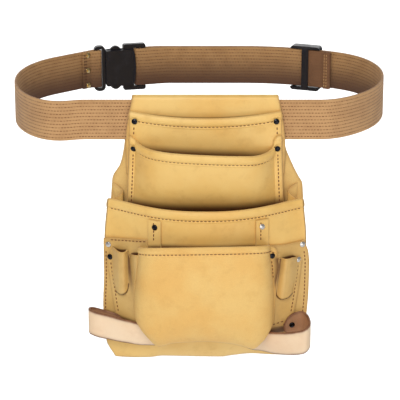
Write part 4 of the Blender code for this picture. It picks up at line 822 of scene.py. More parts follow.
def border(rows, columns):
    # The grid's border as a closed loop of (row, column), and its outward step in the grid.
    loop = [(0, j) for j in range(columns)]
    loop += [(i, columns - 1) for i in range(1, rows)]
    loop += [(rows - 1, j) for j in range(columns - 2, -1, -1)]
    loop += [(i, 0) for i in range(rows - 2, 0, -1)]
    steps = [((i == rows - 1) - (i == 0), (j == columns - 1) - (j == 0)) for i, j in loop]
    return loop, np.array(steps, float)


def leather_piece(name, back, thick, finishes, nodes, raw, side=1, painted_shade=0.0, painted_shade_back=0.0):
    # A sheet over a grid of points on its back, with round edges. Its front and its back may differ;
    # the last two arguments give painted shade on the front and on the back, where parts lie deep in a
    # pocket or gap.
    rows, columns = back.shape[:2]
    across = np.gradient(back, axis=1)
    down = np.gradient(back, axis=0)
    normal = unit(side * np.cross(down, across))
    half = np.broadcast_to(np.asarray(thick, float), (rows, columns))[..., None] / 2
    middle = back + normal * half
    loop, steps = border(rows, columns)
    at = tuple(np.array(loop).T)
    out = unit(steps[:, :1] * unit(down[at]) + steps[:, 1:] * unit(across[at]))
    out = unit(out - normal[at] * np.sum(out * normal[at], axis=1, keepdims=True))
    rings = []
    for step in range(1, EDGE_RINGS + 1):
        angle = math.pi * step / (EDGE_RINGS + 1)
        rings.append(middle[at] + (normal[at] * math.cos(angle) + out * math.sin(angle)) * half[at])
    points = np.concatenate((  # front, back, then the round edge
        (middle + normal * half).reshape(-1, 3), (middle - normal * half).reshape(-1, 3), *rings))
    count = rows * columns
    corners = (np.arange(rows - 1)[:, None] * columns + np.arange(columns - 1)).ravel()
    fronts = np.stack((corners, corners + 1, corners + columns + 1, corners + columns), axis=1)
    faces = fronts.tolist() + (fronts + count).tolist()
    size = len(loop)
    chains = [[i * columns + j for i, j in loop]]
    chains += [[2 * count + ring * size + k for k in range(size)] for ring in range(EDGE_RINGS)]
    chains.append([count + i * columns + j for i, j in loop])
    for near, far in zip(chains, chains[1:]):
        for k in range(size):
            following = (k + 1) % size
            faces.append((near[k], near[following], far[following], far[k]))
    choice = [0] * len(fronts) + [len(finishes) - 1] * (len(faces) - len(fronts))
    piece = finish_piece(name, points, faces, finishes, "pouch", nodes, choice)
    close = edge_nearness(back, raw)
    close = np.concatenate((close.ravel(), close.ravel(), np.tile(close[at], EDGE_RINGS)))
    # Painted shade on the front faces and on the back faces.
    deep = [np.broadcast_to(share, (rows, columns)).ravel() for share in (painted_shade, painted_shade_back)]
    deep = np.concatenate((*deep, np.zeros(EDGE_RINGS * size)))
    for label, values in (("edge_near", close), ("painted_shade", deep)):
        layer = piece.data.attributes.new(label, "FLOAT", "POINT")
        layer.data.foreach_set("value", values.astype(np.float32))


class Thread:
    # Gathers the stitches of one seam or of several.
    def __init__(self):
        self.points = []
        self.faces = []

    def sew(self, line, normals, pitch=STITCH_PITCH, length=STITCH_LENGTH):
        line = np.asarray(line, float)
        normals = np.broadcast_to(np.asarray(normals, float), line.shape)
        reached = reach_along(line)
        count = int(reached[-1] / pitch)
        for index in range(count):
            self.stitch(line, normals, reached, (index + 0.5) * reached[-1] / count, length)

    def stitch(self, line, normals, reached, middle, length):
        spots = [middle + share * length for share, _, _ in STITCH_LEVELS]
        places = np.stack([np.interp(spots, reached, line[:, k]) for k in range(3)], axis=1)
        up = unit(np.array([np.interp(middle, reached, normals[:, k]) for k in range(3)]))
        aside = unit(np.cross(unit(places[-1] - places[0]), up))
        self.faces += tube_faces(len(STITCH_LEVELS), STITCH_SIDES, len(self.points))
        for place, (_, wide, lift) in zip(places, STITCH_LEVELS):
            for right, high in around(STITCH_SIDES):
                arm = aside * right + up * high
                self.points.append(place + up * (lift * THREAD_RADIUS) + arm * (wide * THREAD_RADIUS))

    def make(self, name, body, finish=THREAD):
        finish_piece(name, self.points, self.faces, [finish], body)


def make_rivet(node, foot, normal, kind, body):
    # A turned cap with a rolled rim, on its post.
    finish, slot = kind
    foot = Vector(foot)
    normal = Vector(normal).normalized()
    sideways = normal.orthogonal().normalized()
    upright = normal.cross(sideways)
    levels = [(share * RIVET_CAP, height * RIVET_HEIGHT) for share, height in RIVET_PROFILE]
    post, low = levels[-1]
    levels.append((post, low - RIVET_POST_DEPTH))
    points = []
    for reach, height in levels:
        for right, up in around(RIVET_SIDES):
            points.append(foot + normal * height + (sideways * right + upright * up) * reach)
    last = len(points) - RIVET_SIDES
    points += [foot + normal * RIVET_HEIGHT, foot + normal * (low - RIVET_POST_DEPTH)]
    faces = ring_faces(len(levels), RIVET_SIDES)
    for side in range(RIVET_SIDES):
        following = (side + 1) % RIVET_SIDES
        faces.append((len(points) - 2, side, following))
        faces.append((len(points) - 1, last + following, last + side))
    finish_piece(node + "_cap", points, faces, [finish], body, (node,))


# Depths of the pouch's layers, forward from the back panel's front face

def sheet_face(back, x, z, thick):
    step = 0.0005
    slope = (back(x + step, z) - back(x - step, z)) / (2 * step)
    return back(x, z) + thick * np.minimum(np.sqrt(1.0 + slope * slope), LEAN_LIMIT)


def hem(below, depth):
    # The extra layer of a folded hem: puffed, drawn in along its stitches, with a soft step at its foot.
    seam = depth - THREAD_IN
    swell = np.sin(math.pi * np.clip(below / seam, 0.0, 1.0))
    puff = HEM_RISE * (HEM_LEAST + (1.0 - HEM_LEAST) * swell)
    drawn = HEM_DRAW * np.exp(-((below - seam) / DRAW_HALF) ** 2)
    return (puff - drawn) * (1.0 - ease((below - depth) / HEM_STEP + 0.5))


def pressed(x, z, rivet_x, rivet_z):
    # The share of a hem that is left round a pair of rivets, which draw it in.
    return ease((np.hypot(np.abs(x) - rivet_x, z - rivet_z) - RIVET_CAP) / PRESS_REACH)


def inside_mouth(rim, z, above, below):
    # How much painted shade a layer gets behind a pocket's rim: from none above the rim to full a little
    # below it.
    return ease((rim + above - z) / (above + below))


def within(x, left, right, soft=0.003):
    return ease((x - left) / soft) * ease((right - x) / soft)


def flap_face(z):
    share = ease((z - FLAP_SEWN) / (FLAP_FREE - FLAP_SEWN))
    return mix(LAYER_GAP + LEATHER, FLAP_BACK + LEATHER, share)


def upper_half(z):
    return mix(UPPER_HALF_TOP, UPPER_HALF_FOOT, (UPPER_RIM - z) / (UPPER_RIM - UPPER_FOOT))


def upper_rim(x):
    return UPPER_RIM - UPPER_RIM_SAG * (1.0 - np.clip(x / UPPER_HALF_TOP, -1, 1) ** 2)


def upper_back(x, z):
    across = np.maximum(1.0 - np.abs(x / upper_half(z)) ** UPPER_SQUARE, 0.0)
    down = np.maximum((z - UPPER_FOOT) / (UPPER_RIM - UPPER_FOOT), 0.0)
    return flap_face(z) + LAYER_GAP + UPPER_BULGE * across * down


def upper_face(x, z):
    return sheet_face(upper_back, x, z, LEATHER) + hem(upper_rim(x) - z, UPPER_HEM)


def plain_upper_face(x, z):
    return sheet_face(upper_back, x, z, LEATHER)


def middle_half(z):
    return mix(MIDDLE_HALF_TOP, MIDDLE_HALF_FOOT, (MIDDLE_RIM - z) / (MIDDLE_RIM - MIDDLE_FOOT))


def middle_rim(x):
    return smooth_through(x, MIDDLE_RIM_LINE)


def middle_back(x, z):
    inside = middle_half(z) - np.where(x < 0, MIDDLE_FLANGE_LEFT, MIDDLE_FLANGE_RIGHT)
    across = np.maximum(1.0 - np.abs(x / inside) ** MIDDLE_SQUARE, 0.0)
    down = np.clip((MIDDLE_RIM - z) / (MIDDLE_RIM - MIDDLE_FOOT), 0.0, 1.0)
    flat = plain_upper_face(x, MIDDLE_RIM) - MIDDLE_LEAN * (MIDDLE_RIM - z)
    seat = mix(plain_upper_face(x, z), flat, ease(across * MIDDLE_FLAT))
    return seat + LAYER_GAP + MIDDLE_BULGE * across * (1.0 - down ** MIDDLE_FALL)


def middle_face(x, z):
    return sheet_face(middle_back, x, z, LEATHER) + hem(middle_rim(x) - z, MIDDLE_HEM)


def main_half(z):
    return smooth_through(z, MAIN_SIDES)


def main_rim(x):
    return MAIN_RIM - MAIN_RIM_SAG * (1.0 - np.clip(x / MAIN_SIDES[-1][1], -1, 1) ** 2)


def main_back(x, z):
    share = np.minimum(np.abs(x / main_half(z)), 1.0)
    across = (1.0 - share ** MAIN_SQUARE) ** MAIN_SOFT
    down = np.clip((MAIN_RIM - z) / (MAIN_RIM - POUCH_FOOT), 0.0, 1.0)
    side = LAYER_GAP + MAIN_SIDE_DEPTH * (1.0 - down ** MAIN_SIDE_FALL)
    return side + MAIN_BULGE * across * (1.0 - down ** MAIN_FALL)


def main_face(x, z):
    return sheet_face(main_back, x, z, LEATHER)


def main_hem_face(x, z):
    return main_face(x, z) + hem(main_rim(x) - z, MAIN_HEM)


def tool_back(x, z):
    return main_face(x, z) + LAYER_GAP


def tool_face(x, z):
    return sheet_face(tool_back, x, z, LEATHER)


def tab_face(x, z):
    return sheet_face(tool_back, x, z, SOFT_LEATHER)


def tube_seat(x, z):
    return tool_face(x, z) + LAYER_GAP


def flange_face(x, z):
    return tube_seat(x, z) + SOFT_LEATHER


def hammer_level(x):
    return smooth_through(x, HAMMER_LEVELS)


def hammer_seat(x, z):
    return flange_face(x, z) + LAYER_GAP


def hammer_tab_face(x, z):
    return hammer_seat(x, z) + HAMMER_THICK


def centre_seat(x, z):
    strap_top = hammer_level(x) + HAMMER_HALF
    over = ease((strap_top + HAMMER_COVER - z) / HAMMER_COVER_FADE)
    return mix(tube_seat(x, z), hammer_tab_face(x, z) + LAYER_GAP, over)


def in_pouch(x, forward, z):
    x, forward, z = np.broadcast_arrays(x, forward, z)
    return np.stack((POUCH_X + x, PANEL_FRONT_Y - forward, z), axis=-1)


def face_normals(face, x, z):
    step = 0.001
    across = (face(x + step, z) - face(x - step, z)) / (2 * step)
    upward = (face(x, z + step) - face(x, z - step)) / (2 * step)
    across, upward = np.broadcast_arrays(across, upward)
    return unit(np.stack((-across, -np.ones_like(across), -upward), axis=-1))


def sew_on(thread, face, x, z):
    x, z = np.broadcast_arrays(np.asarray(x, float), np.asarray(z, float))
    thread.sew(in_pouch(x, face(x, z), z), face_normals(face, x, z))


def rivet_on(node, face, x, z, kind):
    x = float(x)
    z = float(z)
    make_rivet(node, in_pouch(x, face(x, z), z), face_normals(face, x, z), kind, "pouch")


# Webbing

BUCKLE_AXIS = direction(BUCKLE_TILT)
BUCKLE_OUT = Vector((-BUCKLE_AXIS.y, BUCKLE_AXIS.x))
BUCKLE_BEND_END = (Vector((BUCKLE_BEND_X, BACK_Y - BUCKLE_BEND_RADIUS))
                   + Vector((-math.sin(BUCKLE_TILT), math.cos(BUCKLE_TILT))) * BUCKLE_BEND_RADIUS)
SOCKET_BAR = BUCKLE_BEND_END - BUCKLE_AXIS * SOCKET_STRAP_RUN - BUCKLE_OUT * BAR_WRAP
PLUG_BAR = SOCKET_BAR - BUCKLE_AXIS * BAR_SPACING
END_AXIS = direction(END_HEADING)
END_OUT = Vector((-END_AXIS.y, END_AXIS.x))
END_HINGE = PLUG_BAR + END_OUT * BAR_WRAP - END_AXIS * END_LENGTH
ARM_LENGTH = (END_HINGE.y - FRONT_Y) / BUCKLE_OUT.y
ARM_HINGE = END_HINGE - BUCKLE_OUT * ARM_LENGTH
TUNNEL_MIDDLE = Vector((0.0, FRONT_Y))
LEFT_SIDE = Vector((-LOOP_HALF_WIDTH, LEFT_SIDE_Y))
TAIL_ANGLE = SLIDER_ANGLE + (SLIDER_LENGTH / 2 + TAIL_PAST_SLIDER) / BACK_ARC_RADIUS
TAIL_ALONG = Vector((math.cos(TAIL_ANGLE), -math.sin(TAIL_ANGLE)))
TAIL_INWARD = -Vector((math.sin(TAIL_ANGLE), math.cos(TAIL_ANGLE)))
FOLD_FACE = PLUG_BAR + END_OUT * (BAR_WRAP - LAYER_STEP - STRAP_SIDE)


def back_arc(angle, radius):
    return BACK_ARC_CENTRE + Vector((math.sin(angle), math.cos(angle))) * radius


def bar_wrap(bar, along, outward, reach):
    points = []
    for step in range(WRAP_STEPS + 1):
        angle = math.pi * step / WRAP_STEPS
        points.append(bar + outward * (BAR_WRAP * math.cos(angle)) + along * (reach * math.sin(angle)))
    return points


def long_line():
    # From the middle of the tunnel to the right, round the back, through the socket and to the slider.
    corner = Vector((RIGHT_CORNER_X, FRONT_Y + RIGHT_CORNER_IN))
    side = Vector((LOOP_HALF_WIDTH, RIGHT_SIDE_Y))
    run_end = Vector((FRONT_RUN_RIGHT, FRONT_Y))
    arc_start = back_arc(BACK_ARC_ANGLE, BACK_ARC_RADIUS)
    line = [TUNNEL_MIDDLE] + run(TUNNEL_MIDDLE, run_end, 24)
    line += bend(run_end, 0.0, corner, RIGHT_CORNER_HEADING, 16)
    line += bend(corner, RIGHT_CORNER_HEADING, side, math.pi / 2, 24)
    line += bend(side, math.pi / 2, arc_start, math.pi - BACK_ARC_ANGLE, 30)
    line += [back_arc(BACK_ARC_ANGLE * (1 - step / 24), BACK_ARC_RADIUS) for step in range(1, 25)]
    bend_start = Vector((BUCKLE_BEND_X, BACK_Y))
    line += run(line[-1], bend_start, 20)
    line += bend(bend_start, math.pi, BUCKLE_BEND_END, math.pi + BUCKLE_TILT, 6)
    line += run(line[-1], SOCKET_BAR + BUCKLE_OUT * BAR_WRAP, 5)[:-1]
    line += bar_wrap(SOCKET_BAR, BUCKLE_AXIS, BUCKLE_OUT, -BAR_WRAP)
    line += run(line[-1], line[-1] + BUCKLE_AXIS * SOCKET_BAR_RUN, 3)
    inner_start = Vector((BUCKLE_BEND_X + INNER_JOIN_RUN, BACK_Y - LAYER_STEP))
    line += bend(line[-1], BUCKLE_TILT, inner_start, 0.0, 10)
    inner_radius = BACK_ARC_RADIUS - LAYER_STEP
    line += run(inner_start, back_arc(0.0, inner_radius), 20)
    line += [back_arc(SLIDER_ANGLE * step / 16, inner_radius) for step in range(1, 17)]
    return line


def tail_line():
    # The plain tail past the slider's bar, with its end turned in for the hem.
    inner_radius = BACK_ARC_RADIUS - LAYER_STEP
    line = [back_arc(mix(SLIDER_ANGLE, TAIL_ANGLE, step / 10), inner_radius) for step in range(1, 11)]
    turn = LAYER_STEP / 2
    for step in range(1, 11):
        angle = math.pi * step / 10
        line.append(back_arc(TAIL_ANGLE, inner_radius) + TAIL_ALONG * (turn * math.sin(angle))
                    + TAIL_INWARD * (turn * (1 - math.cos(angle))))
    line += run(line[-1], line[-1] - TAIL_ALONG * TAIL_HEM, 3)
    return line


def left_front_line():
    bow = Vector((LEFT_BOW_X, FRONT_Y - LEFT_BOW_OUT))
    corner = Vector((LEFT_CORNER_X, FRONT_Y + LEFT_CORNER_IN))
    line = [TUNNEL_MIDDLE] + run(TUNNEL_MIDDLE, ARM_HINGE, 40)
    line += bend(ARM_HINGE, math.pi, bow, LEFT_BOW_HEADING, 10)
    line += bend(bow, LEFT_BOW_HEADING, corner, LEFT_CORNER_HEADING, 24)
    line += bend(corner, LEFT_CORNER_HEADING, LEFT_SIDE, math.pi / 2, 18)
    return line


def left_back_line():
    line = [LEFT_SIDE]
    line += bend(LEFT_SIDE, math.pi / 2, END_HINGE, END_HEADING, 40)
    line += run(END_HINGE, PLUG_BAR + END_OUT * BAR_WRAP, 20)[:-1]
    line += bar_wrap(PLUG_BAR, BUCKLE_AXIS, END_OUT, PLUG_LOOP)
    inner = BAR_WRAP - LAYER_STEP
    meet = PLUG_BAR - END_AXIS * FOLD_MEET + END_OUT * inner
    line += bend(line[-1], END_HEADING + math.pi, meet, END_HEADING + math.pi + 1e-6, 8)
    line += run(meet, PLUG_BAR - END_AXIS * FOLD_LENGTH + END_OUT * inner, 6)
    return line


def webbing_section():
    # The webbing's cross-section: side and height, with a shallow groove along each row.
    heights = np.linspace(-STRAP_HALF + EDGE_ROUND, STRAP_HALF - EDGE_ROUND, ROW_COUNT * ROW_POINTS + 1)
    row = heights / ROW_PITCH
    groove = np.exp(-((row - np.round(row)) / GROOVE_SHARE) ** 2) * (np.abs(row) < ROW_COUNT / 2)
    sides = STRAP_SIDE - ROW_DEPTH * groove
    top = [(STRAP_SIDE * math.cos(angle), STRAP_HALF - EDGE_ROUND * (1 - math.sin(angle)))
           for angle in np.linspace(0.0, math.pi, EDGE_POINTS)[1:-1]]
    section = list(zip(sides, heights)) + top
    section += [(-side, height) for side, height in zip(sides[::-1], heights[::-1])]
    section += [(-side, -height) for side, height in top]
    return np.array(section)


def webbing_piece(name, line, nodes, tail=()):
    # Webbing standing on edge along a line in plan, with painted shade on its faces inside the loop; its
    # tail is plainer.
    plain_from = len(line)
    line = np.array([tuple(point) for point in list(line) + list(tail)])
    heading = unit(np.gradient(line, axis=0))
    left = np.stack((-heading[:, 1], heading[:, 0]), axis=1)
    section = webbing_section()
    count = len(section)
    flat = line[:, None, :] + left[:, None, :] * section[None, :, :1]
    heights = np.broadcast_to(section[:, 1:], (len(line), count, 1))
    points = np.concatenate((flat, heights), axis=2).reshape(-1, 3)
    # The faces inside the loop take the darker copy as painted shade.
    finishes = [WEBBING, WEBBING_INNER_SHADED, WEBBING_TAIL]
    outside, inside, plain = range(len(finishes))
    facing = section[:, 0] + np.roll(section[:, 0], -1)
    outward = np.sign(np.sum(left * line, axis=1))[:-1, None]
    inner = (facing[None, :] * outward < 0) & (np.abs(facing) > STRAP_SIDE)[None, :]
    in_tail = np.arange(len(line) - 1)[:, None] >= plain_from
    choice = np.where(in_tail, plain, np.where(inner, inside, outside)).ravel().tolist()
    choice += [outside, plain if len(tail) else inside]
    faces = tube_faces(len(line), count)
    piece = finish_piece(name, points, faces, finishes, None, nodes, choice)
    mesh = piece.data
    layer = mesh.uv_layers.new(name="UVMap")
    index = np.zeros(len(mesh.loops), np.int32)
    mesh.loops.foreach_get("vertex_index", index)
    along = reach_along(line)[index // count]
    spread = np.column_stack((along, points[index][:, 2] + STRAP_HALF)) * MAP_SCALE
    layer.uv.foreach_set("vector", spread.astype(np.float32).ravel())
    mesh.set_sharp_from_angle(angle=SHARP_ANGLE)
    return piece


def sew_upright(thread, spot, facing):
    # A row of stitches up the width of the webbing.
    height = STRAP_HALF - UPRIGHT_END
    line = [(spot.x, spot.y, -height), (spot.x, spot.y, height)]
    thread.sew(line, (facing.x, facing.y, 0.0), UPRIGHT_PITCH, UPRIGHT_LENGTH)


def make_webbing():
    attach(webbing_piece("webbing_long", long_line(), ("belt_strap",), tail_line()), "belt")
    front = webbing_piece("webbing_left_front", left_front_line(), ("belt_strap_left",))
    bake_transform(front)
    back = webbing_piece("webbing_left_back", left_back_line(), ("belt_strap_end",))
    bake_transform(back)
    hem_thread = Thread()
    tail_end = back_arc(TAIL_ANGLE, BACK_ARC_RADIUS - LAYER_STEP)
    hem_face = tail_end + TAIL_INWARD * (LAYER_STEP + STRAP_SIDE)
    for row_in in TAIL_ROWS:
        sew_upright(hem_thread, hem_face - TAIL_ALONG * row_in, TAIL_INWARD)
    hem_thread.make("tail_stitching", "belt", PALE_THREAD)
    fold_thread = Thread()
    for row_in in FOLD_ROWS:
        sew_upright(fold_thread, FOLD_FACE - END_AXIS * (FOLD_LENGTH - row_in), -END_OUT)
    fold_thread.make("strap_end_stitching", "left_end", DARK_THREAD)


# Leather

def rows_down(hem_share, near, far):
    # Shares down a piece, closer together in its hem.
    return np.concatenate((np.linspace(0.0, hem_share, near), np.linspace(hem_share, 1.0, far)[1:]))


def rim_grid(columns, hem_share, near=24, far=44):
    # Shares across a piece with a hem, closer together at its sides, and shares down.
    across = np.sin(np.linspace(-math.pi / 2, math.pi / 2, columns))
    return np.meshgrid(across, rows_down(hem_share, near, far))


def plain_grid(columns, rows):
    return np.meshgrid(np.linspace(0.0, 1.0, columns), np.linspace(0.0, 1.0, rows))


def foot_shift(x, z):
    # How far the uneven foot hangs from its level.
    return ease((FOOT_START - z) / (FOOT_START - POUCH_FOOT)) * (smooth_through(x, FOOT_LINE) - POUCH_FOOT)


def make_back_panel(thread):
    # One piece: the flap in front, the fold over the belt, and the panel behind.
    middle = (FLAP_BACK + LEATHER) / 2
    top = FOLD_TOP - middle - LEATHER / 2
    sewn = LAYER_GAP + LEATHER / 2
    free = FLAP_BACK + LEATHER / 2
    profile = [(sewn, FLAP_END), (sewn, FLAP_SEWN)]
    profile += [(mix(sewn, free, ease(share)), mix(FLAP_SEWN, FLAP_FREE, share))
                for share in np.linspace(0.1, 1.0, 10)]
    profile += [(free, mix(FLAP_FREE, top, share)) for share in np.linspace(0.04, 0.96, 40)]
    profile += [(FLAP_BACK / 2 + middle * math.cos(angle), top + middle * math.sin(angle))
                for angle in np.linspace(0.0, math.pi, FOLD_POINTS)]
    fold_row = len(profile) - (FOLD_POINTS + 1) // 2
    profile += [(-LEATHER / 2, level) for level in np.linspace(top, POUCH_FOOT, 130)[1:]]
    inner = offset_points(np.array(profile), LEATHER / 2)
    across = np.linspace(-1.0, 1.0, 91)[None, :]
    rear = np.arange(len(profile))[:, None] >= fold_row
    z = inner[:, 1:]
    behind = np.where(across < 0, smooth_through(z, PANEL_LEFTS), smooth_through(z, PANEL_RIGHTS))
    x = across * np.where(rear, behind, smooth_through(z, FLAP_SIDES))
    # Painted shadow on the flap inside the upper pocket's mouth, and painted shade on the panel's front
    # inside the main pouch.
    shadow = inside_mouth(upper_rim(x), z, *UPPER_SHADE) * within(x, *UPPER_SHADE_SIDES) * ~rear
    depth = PANEL_SHADE_SHARE * inside_mouth(MAIN_RIM, z, *PANEL_SHADE)
    depth = depth * within(x, *PANEL_SHADE_SIDES) * rear
    back = in_pouch(x, inner[:, :1], z + rear * foot_shift(x, z))
    leather_piece("back_panel_leather", back, LEATHER, [BUFF, FLESH], ("back_panel",),
                  side=-1, raw=(0.3, 0.8, 0.5, 0.5), painted_shade=shadow, painted_shade_back=depth)
    z = np.linspace(*PANEL_SEAM, 60)
    for side, edge in ((-1, PANEL_LEFTS), (1, PANEL_RIGHTS)):
        thread.sew(in_pouch(side * (smooth_through(z, edge) - SEAM_IN), -LEATHER, z), (0.0, 1.0, 0.0))


def make_upper_pocket(thread):
    across, down = rim_grid(columns=101, hem_share=0.16)
    rim = upper_rim(across * UPPER_HALF_TOP)
    z = mix(rim, UPPER_FOOT, down)
    x = across * upper_half(z)
    rivet_x = upper_half(UPPER_RIVET_Z) - UPPER_RIVET_IN
    thick = LEATHER + hem(rim - z, UPPER_HEM) * pressed(x, z, rivet_x, UPPER_RIVET_Z)
    shadow = inside_mouth(middle_rim(x), z, *MIDDLE_SHADE) * within(x, *MIDDLE_SHADE_SIDES)
    leather_piece("upper_pocket_leather", in_pouch(x, upper_back(x, z), z), thick, [BUFF, FLESH],
                  ("upper_pocket",), raw=(0.0, 0.5, 0.4, 0.4), painted_shade=shadow)
    x = np.linspace(-UPPER_HALF_TOP + UPPER_SEAM_END, UPPER_HALF_TOP - UPPER_SEAM_END, 60)
    sew_on(thread, upper_face, x, upper_rim(x) - UPPER_HEM + THREAD_IN)
    z = np.linspace(*UPPER_SIDE_SEAM, 8)
    for word, side in SIDES:
        sew_on(thread, upper_face, side * (upper_half(z) - SEAM_IN), z)
        rivet_on("rivet_upper_" + word, upper_face, side * rivet_x, UPPER_RIVET_Z, DARK_RIVET)


def make_middle_pocket(thread):
    across, down = rim_grid(columns=181, hem_share=0.19, near=28, far=56)
    rim = middle_rim(across * MIDDLE_HALF_TOP)
    z = mix(rim, MIDDLE_FOOT, down)
    x = across * middle_half(z)
    rivet_x = middle_half(MIDDLE_RIVET_Z) - MIDDLE_RIVET_IN
    thick = LEATHER + hem(rim - z, MIDDLE_HEM) * pressed(x, z, rivet_x, MIDDLE_RIVET_Z)
    # Painted shade where the pocket lies inside the main pouch's mouth.
    leather_piece("middle_pocket_leather", in_pouch(x, middle_back(x, z), z), thick, [BUFF, FLESH],
                  ("middle_pocket",), raw=(0.0, 0.5, 0.4, 0.4),
                  painted_shade=inside_mouth(main_rim(x), z, *MAIN_SHADE))
    x = np.linspace(*MIDDLE_RIM_SEAM, 90)
    sew_on(thread, middle_face, x, middle_rim(x) - MIDDLE_HEM + THREAD_IN)
    z = np.linspace(*MIDDLE_SIDE_SEAM, 40)
    for word, side in SIDES:
        sew_on(thread, middle_face, side * (middle_half(z) - MIDDLE_SEAM_IN), z)
        rivet_on("rivet_middle_" + word, middle_face, side * rivet_x, MIDDLE_RIVET_Z, DARK_RIVET)


def inside_centre(x, z):
    # Painted shade inside the centre pouch, whose rim is lower at its sides.
    rim = CENTRE_RIM - CENTRE_SHADE_DROP - CENTRE_SHADE_SAG * np.abs(x / CENTRE_SHADE_HALF) ** 4
    return inside_mouth(rim, z, *CENTRE_SHADE)


def below_centre(x, z):
    # The narrow shade under the centre pouch's foot.
    foot = CENTRE_FOOT + smooth_through(x, CENTRE_FOOT_LINE)
    lower = ease((z - foot + BELOW_SHADE_REACH) / BELOW_SHADE_FADE)
    upper = ease((foot + BELOW_SHADE_TOP - z) / BELOW_SHADE_TOP_FADE)
    return BELOW_SHADE_SHARE * lower * upper * within(x, *BELOW_SHADE_SIDES)


def make_main_front(thread):
    across, down = rim_grid(columns=141, hem_share=0.078, far=90)
    rim = main_rim(across * MAIN_SIDES[-1][1])
    z = mix(rim, POUCH_FOOT, down)
    x = across * main_half(z)
    thick = LEATHER + hem(rim - z, MAIN_HEM)
    # Painted shade inside the centre pouch's mouth, and painted shadow below its foot.
    shadow = inside_centre(x, z) * within(x, *CENTRE_SHADE_SIDES)
    shadow = shadow * ease((z - CENTRE_SHADE_FOOT) / SHADE_FADE)
    shadow = np.maximum(shadow, below_centre(x, z))
    back = in_pouch(x, main_back(x, z), z + MAIN_FOOT_SHARE * foot_shift(x, z))
    leather_piece("main_pouch_leather", back, thick, [BUFF, FLESH], ("main_pouch_front",),
                  raw=(0.0, 0.6, 0.4, 0.4), painted_shade=shadow)
    x = np.linspace(*MAIN_RIM_SEAM, 122)
    sew_on(thread, main_hem_face, x, main_rim(x) - MAIN_HEM + THREAD_IN)


def make_gusset(word, side):
    # The side wall of the main pouch, folded inwards along its middle.
    across, down = plain_grid(33, 61)
    z = mix(MAIN_RIM, GUSSET_FOOT, down)
    deep = ease((MAIN_RIM - z) / GUSSET_TOP_DEPTH)
    outer = side * (main_half(z) - mix(GUSSET_TOP_SEAM, GUSSET_SEAM, deep))
    rear = FLUSH + SOFT_LEATHER / 2
    fore = main_back(outer, z) - LAYER_GAP - SOFT_LEATHER / 2
    fold = 1.0 - np.abs(2 * across - 1) ** GUSSET_ROUND
    x = outer - side * mix(GUSSET_TOP_FOLD, GUSSET_FOLD, deep) * fold
    rise = GUSSET_RISE * (1.0 - across) * (1.0 - down) ** GUSSET_RISE_FALL
    back = in_pouch(x, mix(rear, fore, across), z + rise)
    leather_piece("main_gusset_leather_" + word, back, SOFT_LEATHER, [BUFF, FLESH], ("main_gusset_" + word,),
                  side=side, raw=(0.6, 0.3, 0.2, 0.2))


def make_tab(word, middle, kind, thread):
    across, down = plain_grid(15, 31)
    x = middle + (across - 0.5) * TAB_WIDTH
    z = mix(TAB_TOP, TAB_FOOT, down)
    # Painted shade on the tab inside the centre pouch's mouth.
    leather_piece("mouth_tab_leather_" + word, in_pouch(x, tool_back(x, z), z), SOFT_LEATHER, [BUFF, FLESH],
                  ("mouth_tab_" + word,), raw=(0.1, 0.3, 0.1, 0.1),
                  painted_shade=inside_centre(x, z))
    z = np.linspace(TAB_TOP - TAB_SEAM_DOWN, CENTRE_RIM, 12)
    sew_on(thread, tab_face, middle - TAB_SEAM_ASIDE, z)
    rivet_on("rivet_tab_" + word, tab_face, middle, TAB_RIVET_Z, kind)


def behind_strap(x, z):
    # Painted shade in the gap behind the hammer strap's upper edge.
    return STRAP_SHADE_SHARE * inside_mouth(hammer_level(x) + HAMMER_HALF, z, *STRAP_SHADE)


def make_tool_panel(word, side, inner, top, edge, mouths, mouth_line, seam_in, thread):
    across, down = plain_grid(91, 121)
    x = mix(inner, side * smooth_through(edge[-1][0], edge), across)
    z = mix(smooth_through(x, top), TOOL_FOOT, down)
    x = mix(inner, side * smooth_through(z, edge), across)
    # Painted shade behind the hammer strap and inside the tube mouths.
    shadow = behind_strap(x, z)
    inside = inside_mouth(smooth_through(x, mouth_line), z, *TUBE_SHADE)
    inside = inside * ease((z - TUBE_SHADE_FOOT) / SHADE_FADE)
    for mouth in mouths:
        shadow = np.maximum(shadow, inside * within(x, *mouth, TUBE_SHADE_SOFT))
    leather_piece("tool_panel_leather_" + word, in_pouch(x, tool_back(x, z), z), LEATHER, [SHADED_BUFF, FLESH],
                  ("tool_panel_" + word,), side=side, raw=(0.6, 0.4, 0.2, 0.5),
                  painted_shade=shadow)
    z = np.linspace(*TOOL_SEAM, 60)
    sew_on(thread, tool_face, side * (smooth_through(z, edge) - seam_in), z)
    rivet_on("rivet_tool_" + word, tool_face, side * TOOL_RIVET[0], TOOL_RIVET[1], BRIGHT_RIVET)


def ridge(x, start, end, peak=0.55):
    # A rounded rise between two places.
    share = (x - start) / (end - start)
    return ease(share / peak) * (1.0 - ease((share - peak - 0.10) / (0.90 - peak)))


def outer_tube(x, z, mouth, tall, slit, open_at, open_over, seam, valley):
    # How far a tube stands off from its seam to its valley, down to its slit.
    down = np.clip((mouth - z) / tall, 0.0, 1.0)
    soft = mix(*TUBE_SOFT, ease((x - open_at) / open_over))
    above = ease((z - smooth_through(x, slit)) / soft)
    return mix(*TUBE_LIFT, down) * ridge(x, seam, mix(*valley, down)) * above


def left_tubes(x, z):
    low = ease((INNER_TUBE_MOUTH - z) / INNER_TUBE_TALL)
    rise = ridge(x, INNER_TUBE_SEAM, mix(*INNER_TUBE_VALLEY, low), INNER_TUBE_PEAK)
    inner = mix(*INNER_TUBE_LIFT, low) * rise * ease((z - INNER_TUBE_END) / INNER_TUBE_FADE)
    return np.maximum(outer_tube(x, z, **TUBE_LEFT), inner)


def right_tubes(x, z):
    return outer_tube(x, z, **TUBE_RIGHT)


